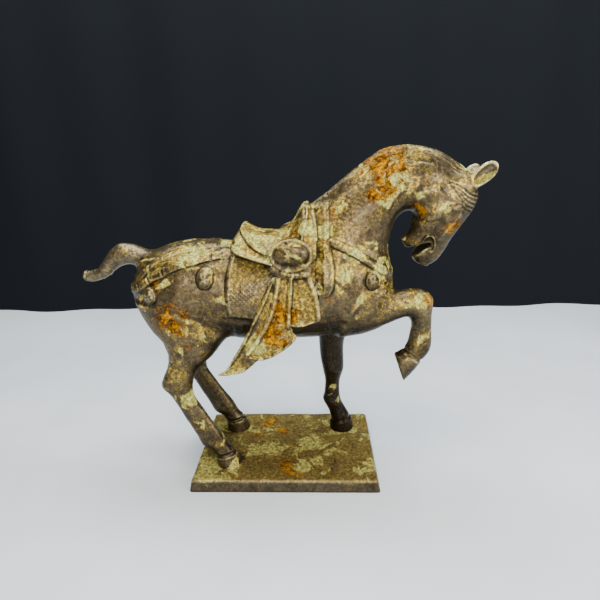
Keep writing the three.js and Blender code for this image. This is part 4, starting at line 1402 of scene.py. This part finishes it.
def patina_group():
    """Colour, roughness, metal, coat and height of aged bronze, from the skin's features."""
    outputs = {"Color": "Color"}
    outputs |= dict.fromkeys(("Roughness", "Metallic", "Coat", "Height"), "Float")
    t, given, result = new_group("bronze_patina", AMOUNTS, outputs)
    hollows, shade, green_spots = (feature(t, key) for key in ("hollow", "shade", "green"))
    broad, middle = noise(t, 38, 5, 0.6, 0.5), noise(t, 13, 7, 0.66, 0.4, (1, 2, 3))
    fine, specks = noise(t, 2.6, 5, 0.72, 0.3, (4, 0, 1)), noise(t, 1.1, 2, 0.6, 0, (2, 5, 0))

    # The metal.
    colour = mixed(t, ramped(t, middle, 0.34, 0.6), METAL_DARK, METAL_BROWN)
    # The polish amount lays a pale grey over the metal: partly polished bare metal, partly a
    # painted sheen.
    colour = mixed(t, given["Polish"], colour, POLISHED_AND_SHEEN)

    # Earth in broad patches, least where shade is painted, with pale powder in specks and thin
    # lines.
    shown = scaled(t, shade, -0.34, scaled(t, given["Earth"], 0.3, -0.15))
    earth_field = maths(t, "ADD", scaled(t, broad, 0.5, times(t, middle, 0.5)), shown)
    earth_field = scaled(t, green_spots, 0.1, earth_field)
    earth = ramped(t, earth_field, 0.47, 0.54)
    powder = times(t, ramped(t, fine, 0.5, 0.62), ramped(t, earth_field, 0.42, 0.52))
    from_middle = maths(t, "SUBTRACT", noise(t, 9, 5, 0.7, 0.8, (3, 9, 2)), 0.5)
    lines = ramped(t, maths(t, "ABSOLUTE", from_middle), 0.022, 0.0)
    lines = times(t, lines, ramped(t, broad, 0.42, 0.56, 0.15, 0.8))
    powder = times(t, maths(t, "MAXIMUM", powder, lines), given["Powder"])
    colour = mixed(t, times(t, earth, 0.62), colour, EARTH)
    colour = mixed(t, powder, colour, EARTH_PALE)

    # Verdigris where noise and its spots are high together, and gold just outside it.
    bias = scaled(t, green_spots, 0.26, scaled(t, given["Verdigris"], 0.2, -0.1))
    scab_noise = noise(t, 15, 6, 0.6, 0.8, (7, 3, 9))
    green_field = maths(t, "ADD", scab_noise, scaled(t, shade, -0.2, bias))
    green = times(t, ramped(t, green_field, 0.575, 0.592), given["Crust"])
    border = times(t, ramped(t, green_field, 0.53, 0.575), given["Powder"])
    border = times(t, border, ramped(t, middle, 0.4, 0.56, 0.1, 0.75))
    colour = mixed(t, border, colour, GOLD)
    chalk = mixed(t, ramped(t, fine, 0.35, 0.7), VERDIGRIS, VERDIGRIS_PALE)
    colour = mixed(t, times(t, green, 0.9), colour, chalk)

    # Rust in its spots, mottled from dark through orange to yellow, in a wider stain.
    rust_noise = noise(t, 12, 6, 0.68, 1.0, (5, 5, 5))
    rust_field = scaled(t, rust_noise, 2.8, feature(t, "rust"))
    rust_field = maths(t, "ADD", rust_field, scaled(t, given["Rust"], 0.3, -0.15))
    rust = times(t, ramped(t, rust_field, 1.92, 2.06), given["Crust"])
    core = ramped(t, rust_field, 2.1, 2.5)
    mottle = scaled(t, core, 0.14, noise(t, 5, 6, 0.72, 0.6, (8, 1, 6)))
    bloom = mixed(t, ramped(t, mottle, 0.42, 0.5), RUST_DARK, RUST_ORANGE)
    bloom = mixed(t, ramped(t, mottle, 0.5, 0.62), bloom, RUST_YELLOW)
    bloom = mixed(t, times(t, ramped(t, fine, 0.54, 0.62), 0.7), bloom, RUST_DARK)
    stain = times(t, ramped(t, rust_field, 1.66, 2.05), 0.5)
    colour = mixed(t, stain, colour, RUST_STAIN)
    colour = mixed(t, times(t, rust, 0.93), colour, bloom)

    # Ridges rubbed bright, partly real wear and partly a painted highlight, fine grain over all,
    # black wax in hollows, painted shade, and flecks.
    rubbed_and_highlight = times(t, ramped(t, hollows, 0.46, 0.1), given["Wear"])
    rubbed_and_highlight = times(t, rubbed_and_highlight, ramped(t, middle, 0.4, 0.58, 0.25, 1.0))
    colour = mixed(t, rubbed_and_highlight, colour, RUBBED_AND_HIGHLIGHT)
    crust = maths(t, "MAXIMUM", green, rust)
    colour = mixed(t, 1.0, colour, ramped(t, fine, 0.34, 0.66, 0.5, 1.35), "MULTIPLY")
    grime = ramped(t, scaled(t, fine, 0.2, hollows), 0.7, 1.05)
    grime = times(t, grime, maths(t, "MINIMUM", given["Darkness"], 1.0))
    colour = mixed(t, times(t, grime, 0.85), colour, BLACK_WAX)
    # Painted shade: the colour is multiplied towards the deep shade colour where the shade value
    # is high, less so on crusts.
    in_shade = maths(t, "MINIMUM", times(t, shade, given["Darkness"]), 1.0)
    in_shade = times(t, in_shade, scaled(t, crust, -0.55, 1.0))
    colour = mixed(t, in_shade, colour, DEEP_SHADE, "MULTIPLY")
    colour = mixed(t, times(t, ramped(t, specks, 0.57, 0.64), 0.75), colour, METAL_DARK)

    # Earth and crusts are dull and stand proud. Verdigris is no metal, and wax skips crusts.
    dull = maths(t, "MAXIMUM", crust, times(t, earth, 0.5))
    rough = ramped(t, dull, 0.0, 1.0, 0.4, 0.75)
    metal = times(t, maths(t, "SUBTRACT", 1.0, green), ramped(t, earth, 0.0, 1.0, 0.85, 0.6))
    metal = maths(t, "MAXIMUM", metal, rust)
    coat = scaled(t, crust, -0.12, 0.12)
    height = scaled(t, crust, 0.45, times(t, fine, 0.55))
    height = scaled(t, times(t, rust, fine), 0.8, height)
    height = scaled(t, specks, 0.15, height)
    for name, socket in zip(outputs, (colour, rough, metal, coat, height)):
        t.links.new(socket, result[name])
    return t


PATINA = patina_group()
print("patina group of", len(PATINA.nodes), "nodes")

# %% [markdown]
# ## Bronze for each kind of piece
# The material itself holds the shader, with the group's results joined to it. A thin clear
# coat stands for old wax. A fine net of lozenges is pressed into the cloth, for its brocade.
# The drape is powdery, the tail and ears are rubbed and turned grey, partly polished metal and
# partly a painted sheen, the bosses and knots keep little earth, and the standing foreleg, in its
# own shade, is painted almost black with shade.

# %% Bronze materials
RELIEF_DISTANCE = 0.0006
NET_PITCH = 900.0


def bronze(name, relief=0.5, pattern=None, **amounts):
    """A Principled bronze fed by the patina group; pattern adds its own height."""
    material, tree, shader = new_material(name)
    patina = add(tree, "Group", node_tree=PATINA)
    feed(tree, patina, amounts)
    height = patina.outputs["Height"]
    if pattern:
        height = maths(tree, "ADD", height, pattern(tree))
    bump_inputs = {"Strength": relief, "Distance": RELIEF_DISTANCE, "Height": height}
    inputs = {key: patina.outputs[key] for key in ("Roughness", "Metallic")}
    inputs |= {"Base Color": patina.outputs["Color"], "Coat Weight": patina.outputs["Coat"]}
    inputs |= {"Normal": add(tree, "Bump", bump_inputs).outputs["Normal"]}
    feed(tree, shader, inputs | {"Coat Roughness": 0.3, "Specular IOR Level": 0.25})
    return material


def lozenges(tree):
    """Height of a diagonal net: the larger of |sin| along two crossed directions, halved."""
    coords = add(tree, "TexCoord").outputs["Object"]
    split = add(tree, "SeparateXYZ", {0: coords})
    across = times(tree, split.outputs["X"], NET_PITCH)
    waves = []
    for pitch in (NET_PITCH, -NET_PITCH):
        run = scaled(tree, split.outputs["Z"], pitch, across)
        waves.append(maths(tree, "ABSOLUTE", maths(tree, "SINE", run)))
    return times(tree, maths(tree, "MAXIMUM", *waves), 0.5)


BODY = bronze("bronze_body", Earth=0.42, Verdigris=0.5, Rust=0.5, Wear=0.45)
HEAD_BRONZE = bronze("bronze_head", Earth=0.35, Verdigris=0.45, Rust=0.55, Wear=0.5)
BOSS_BRONZE = bronze("bronze_boss", Earth=0, Verdigris=0.45, Rust=0.3, Wear=0.3)
STRAP_BRONZE = bronze("bronze_strap", Earth=0.5, Verdigris=0.5, Rust=0.5, Wear=0.4)
LEG_BRONZE = bronze("bronze_legs", Earth=0.4, Verdigris=0.6, Rust=0.4, Wear=0.45)
EAR_AMOUNTS = {"Earth": 0.5, "Verdigris": 0.55, "Rust": 0.2, "Wear": 0.7, "Darkness": 0.25}
TAIL_AMOUNTS = {"Earth": 0.05, "Verdigris": 0.15, "Rust": 0.3, "Wear": 0.3, "Darkness": 0.6}
DRAPE_AMOUNTS = {"Earth": 0.8, "Powder": 0.8, "Verdigris": 0.6, "Rust": 0.55, "Wear": 0.5}
CLOTH_AMOUNTS = {"Earth": 0.5, "Powder": 0.4, "Verdigris": 0.25, "Rust": 0.45, "Wear": 0.4}
# The standing foreleg stands in shade, so shade is painted on it until it is almost black.
SHADED_LEG_AMOUNTS = {"Earth": 0.1, "Verdigris": 0.45, "Rust": 0.2, "Wear": 0.2, "Darkness": 1.9}
FINISHES = {
    "saddle_cloth": bronze("bronze_cloth", 0.6, lozenges, **CLOTH_AMOUNTS),
    "saddle": bronze("bronze_tack", Earth=0.55, Verdigris=0.6, Rust=0.6, Wear=0.4),
    "cover_drape": bronze("bronze_drape", **DRAPE_AMOUNTS),
    "cover_knot": BOSS_BRONZE,
    "rump_strap": STRAP_BRONZE,
    "breast_strap": STRAP_BRONZE,
    "rump_boss": BOSS_BRONZE,
    "breast_boss": BOSS_BRONZE,
    "ear": bronze("bronze_ear", Polish=0.5, **EAR_AMOUNTS),
    "head": HEAD_BRONZE,
    "mane": HEAD_BRONZE,
    "tail": bronze("bronze_tail", 0.3, Polish=0.22, **TAIL_AMOUNTS),
    "foreleg_far": bronze("bronze_leg_painted_shade", **SHADED_LEG_AMOUNTS),
    "foreleg": LEG_BRONZE,
    "hindleg": LEG_BRONZE,
}
FINISHES["stirrup_flap"] = FINISHES["saddle"]
for name, piece in pieces.items():
    finishes = (finish for start, finish in FINISHES.items() if name.startswith(start))
    piece.data.materials.append(next(finishes, BODY))
print("materials:", [m.name for m in bpy.data.materials])

# %% [markdown]
# ## Base plate
# A cast slab with leaning sides and edges knocked round. A bevelled box would be too even,
# so it is one more distance field: the largest of the distances to its faces, softened.
# Worn corners and the holes for the screws come free with that, and it is roughened and
# coloured like the horse. Earth has dulled it, and its top edge is rubbed.

# %% The plate
PLATE_STEP = 0.9
DRAFT = 2.2
EDGE_SOFT, TOP_SOFT, BOTTOM_SOFT = 3.0, 2.4, 0.8
HEAD_RADIUS, SHANK_RADIUS, RECESS, CONE_SLOPE = 5.3, 2.8, 1.0, 0.735
SCREWS = ("hoof_screw_near_hind", "hoof_screw_far_hind", "hoof_screw_far_fore")
PLATE_GRID_HIGH = (86, 58, 14.5)


def plate_field(x, y, z):
    """Largest distance to the four leaning faces and the two flat ones, less the screw
    holes, each a straight recess, a cone and a straight shank."""
    lean = DRAFT * z / PLATE_TOP
    half_x, half_y = PLATE_HIGH[0] - lean, PLATE_HIGH[1] - lean
    field = carve(np.abs(x) - half_x, np.abs(y) - half_y, EDGE_SOFT)
    field = carve(field, z - PLATE_TOP, TOP_SOFT)
    field = carve(field, -z, BOTTOM_SOFT)
    for name in SCREWS:
        low, high = (np.array(corner) * 1000 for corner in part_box(name))
        away = np.hypot(x - (low[0] + high[0]) / 2, y - (low[1] + high[1]) / 2)
        radius = np.clip(HEAD_RADIUS - (z - RECESS) * CONE_SLOPE, SHANK_RADIUS, HEAD_RADIUS)
        field = carve(field, radius - away, 0.2)
    return field


plate_low = np.array([PLATE_LOW[0] - 3, PLATE_LOW[1] - 3, -3.0])
ends = zip(plate_low, PLATE_GRID_HIGH)
steps = [np.arange(a, b, PLATE_STEP, dtype=np.float32) for a, b in ends]
values = plate_field(steps[0][:, None, None], steps[1][None, :, None], steps[2][None, None, :])
plate_points, plate_quads = drawn_skin(values, PLATE_STEP, plate_low)
print("plate of", len(plate_quads), "quads")

# %% [markdown]
# Edges chip and the top wears. The plate's points move inwards by the same lattice noise as the
# horse's, but not at the bottom, where it has to stand flat. How worn it is comes from the
# distance to its top edge, and a painted shadow round each hoof from the distance to the soles.
# Painted shade darkens the sides, which face away from the light above.

# %% Chipping and wear of the plate, with painted shade and painted shadow
outward = point_normals(plate_points, plate_quads)
chips = 0.3 * lattice_noise(plate_points, 13, 7) + 0.16 * lattice_noise(plate_points, 4.5, 8) - 0.3
chips *= np.clip(plate_points[:, 2] / 3, 0, 1)
plate_points += outward * chips[:, None]
x, y, z = plate_points.T
from_edge = np.minimum(PLATE_HIGH[0] - abs(x), PLATE_HIGH[1] - abs(y))
top_edge = np.clip(1 - np.hypot(from_edge - 2.4, z - 10) / 3.0, 0, 1)
to_hoof = np.min([np.hypot(x - cx, y - cy) for cx, cy in SOLES], axis=0)
# A painted shadow round each hoof, which the hollow value below turns to black wax.
foot_shadow = np.clip(1.7 - to_hoof / 11, 0, 1)
plate_features = {
    "hollow": 0.5 - 0.3 * top_edge + 0.2 * foot_shadow,
    "rust": spots(plate_points, RUST),
    "green": spots(plate_points, GREEN) - spots(plate_points, BARE),
    # Painted shade on the sides and underside, more the further a face turns from up.
    "shade": np.clip(0.8 - outward[:, 2], 0, 1),
}
plate = build_mesh("base_plate_cast", plate_points, plate_quads, plate_features)
PLATE_AMOUNTS = {"Earth": 0.85, "Powder": 0.12, "Verdigris": 0.62, "Rust": 0.7, "Wear": 0.25}
plate_bronze = bronze("bronze_base", 0.4, Crust=0.65, Polish=0.12, **PLATE_AMOUNTS)
plate.data.materials.append(plate_bronze)
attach(plate, "root")
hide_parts("base_plate")
print("plate worn by up to", round(float(np.abs(chips).max()), 2), "mm")

# %% [markdown]
# The screws that hold the hooves are seen only from below. They keep their own shape and
# get turned steel: a fine noise for tool marks, in grey with brown where it has rusted.

# %% Screw steel
STEEL_GREY, STEEL_BROWN = (0.42, 0.4, 0.37), (0.16, 0.12, 0.09)
steel, tree, shader = new_material("screw_steel")
grey = mixed(tree, ramped(tree, noise(tree, 4, 4), 0.4, 0.65), STEEL_GREY, STEEL_BROWN)
turned = noise(tree, 0.5, 2)
turning = add(tree, "Bump", {"Strength": 0.3, "Distance": 0.0001, "Height": turned})
inputs = {"Base Color": grey, "Roughness": ramped(tree, turned, 0.3, 0.7, 0.3, 0.5)}
inputs |= {"Normal": turning.outputs["Normal"], "Metallic": 0.9}
feed(tree, shader, inputs)
for name in SCREWS:
    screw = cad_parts[name]
    screw.data.materials.clear()
    screw.data.materials.append(steel)
print("screws finished:", len(SCREWS))

# %% [markdown]
# ## Floor, curtain and light
# A pale table with a black curtain behind it. The curtain is see-through from behind, so
# that the horse can be viewed from all round. Its pleats are a sum of sines, because they
# are far off and out of the light, where a simulated curtain would look no better.

# %% Floor and curtain
CURTAIN_Y = 410.0
FLOOR_EDGES = np.array([-4000.0, 4000.0])
TABLE, TABLE_PALE = (0.71, 0.75, 0.79), (0.79, 0.83, 0.87)
CURTAIN_BLACK = (0.0035, 0.005, 0.008, 1)


def sheet_mesh(name, p, columns, rows):
    """A grid of points as one sheet of quads."""
    i, j = np.meshgrid(np.arange(columns - 1), np.arange(rows - 1), indexing="ij")
    corner = (i * rows + j).ravel()
    faces = np.column_stack([corner, corner + rows, corner + rows + 1, corner + 1])
    sheet = build_mesh(name, p, faces)
    return sheet


floor_points = np.array([(x, y, 0) for x in FLOOR_EDGES for y in FLOOR_EDGES])
floor = sheet_mesh("floor", floor_points, 2, 2)
linen, tree, shader = new_material("table_cloth")
pale = mixed(tree, ramped(tree, noise(tree, 180, 3), 0.3, 0.7), TABLE, TABLE_PALE)
feed(tree, shader, {"Base Color": pale, "Roughness": 0.55})
floor.data.materials.append(linen)

pleat_x = np.linspace(-2200, 2200, 700)
pleat_z = np.linspace(0, 1000, 12)
px, pz = (a.ravel() for a in np.meshgrid(pleat_x, pleat_z, indexing="ij"))
folds = 7 * np.sin(px / 61) + 4 * np.sin(px / 23 + pz / 900) + 3 * np.sin(px / 140 + 1)
curtain_points = np.column_stack([px, CURTAIN_Y + 12 + folds, pz])
curtain = sheet_mesh("curtain", curtain_points, len(pleat_x), len(pleat_z))
curtain.data.polygons.foreach_set("use_smooth", np.ones(len(curtain.data.polygons), bool))
cloth_black, tree, shader = new_material("curtain_cloth")
feed(tree, shader, {"Base Color": CURTAIN_BLACK, "Roughness": 0.9, "Specular IOR Level": 0.2})
behind = add(tree, "NewGeometry").outputs["Backfacing"]
clear = add(tree, "BsdfTransparent").outputs[0]
seen = add(tree, "MixShader", {0: behind, 1: shader.outputs[0], 2: clear}).outputs[0]
feed(tree, tree.nodes["Material Output"], {"Surface": seen})
curtain.data.materials.append(cloth_black)
print("floor and curtain placed")

# %% [markdown]
# Four soft lights: a warm key above and in front, a cool strip over the back that draws the
# outline, a warm fill from the front, and one from the side for the chest and face. Small
# hard lights would make sharp glints that worn bronze does not show. The room adds a little.

# %% Lights
AIM = Vector((0, 0, 0.13))
ROOM_COLOUR, ROOM_STRENGTH = (0.75, 0.8, 0.85, 1), 0.12
LIGHTS = (
    ("key", (-0.2, -0.35, 1.35), 0.7, 0.7, 12, (1, 0.97, 0.9)),
    ("top", (0.05, 0.22, 0.98), 1.6, 0.3, 15, (0.86, 0.96, 1)),
    ("fill", (0.05, -1.15, 0.6), 0.6, 0.4, 13, (1, 0.97, 0.92)),
    ("side", (0.9, -0.6, 0.5), 0.5, 0.4, 8, (1, 0.97, 0.92)),
)
for name, place, size, depth, watts, colour in LIGHTS:
    data = bpy.data.lights.new(name, "AREA")
    data.shape = "RECTANGLE"
    data.size, data.size_y, data.energy, data.color = size, depth, watts, colour
    lamp = bpy.data.objects.new(name, data)
    bpy.context.collection.objects.link(lamp)
    lamp.location = place
    lamp.rotation_euler = (Vector(place) - AIM).to_track_quat("Z", "Y").to_euler()
world = bpy.data.worlds.new("room")
bpy.context.scene.world = world
world.use_nodes = True
room = {"Color": ROOM_COLOUR, "Strength": ROOM_STRENGTH}
feed(world.node_tree, world.node_tree.nodes["Background"], room)
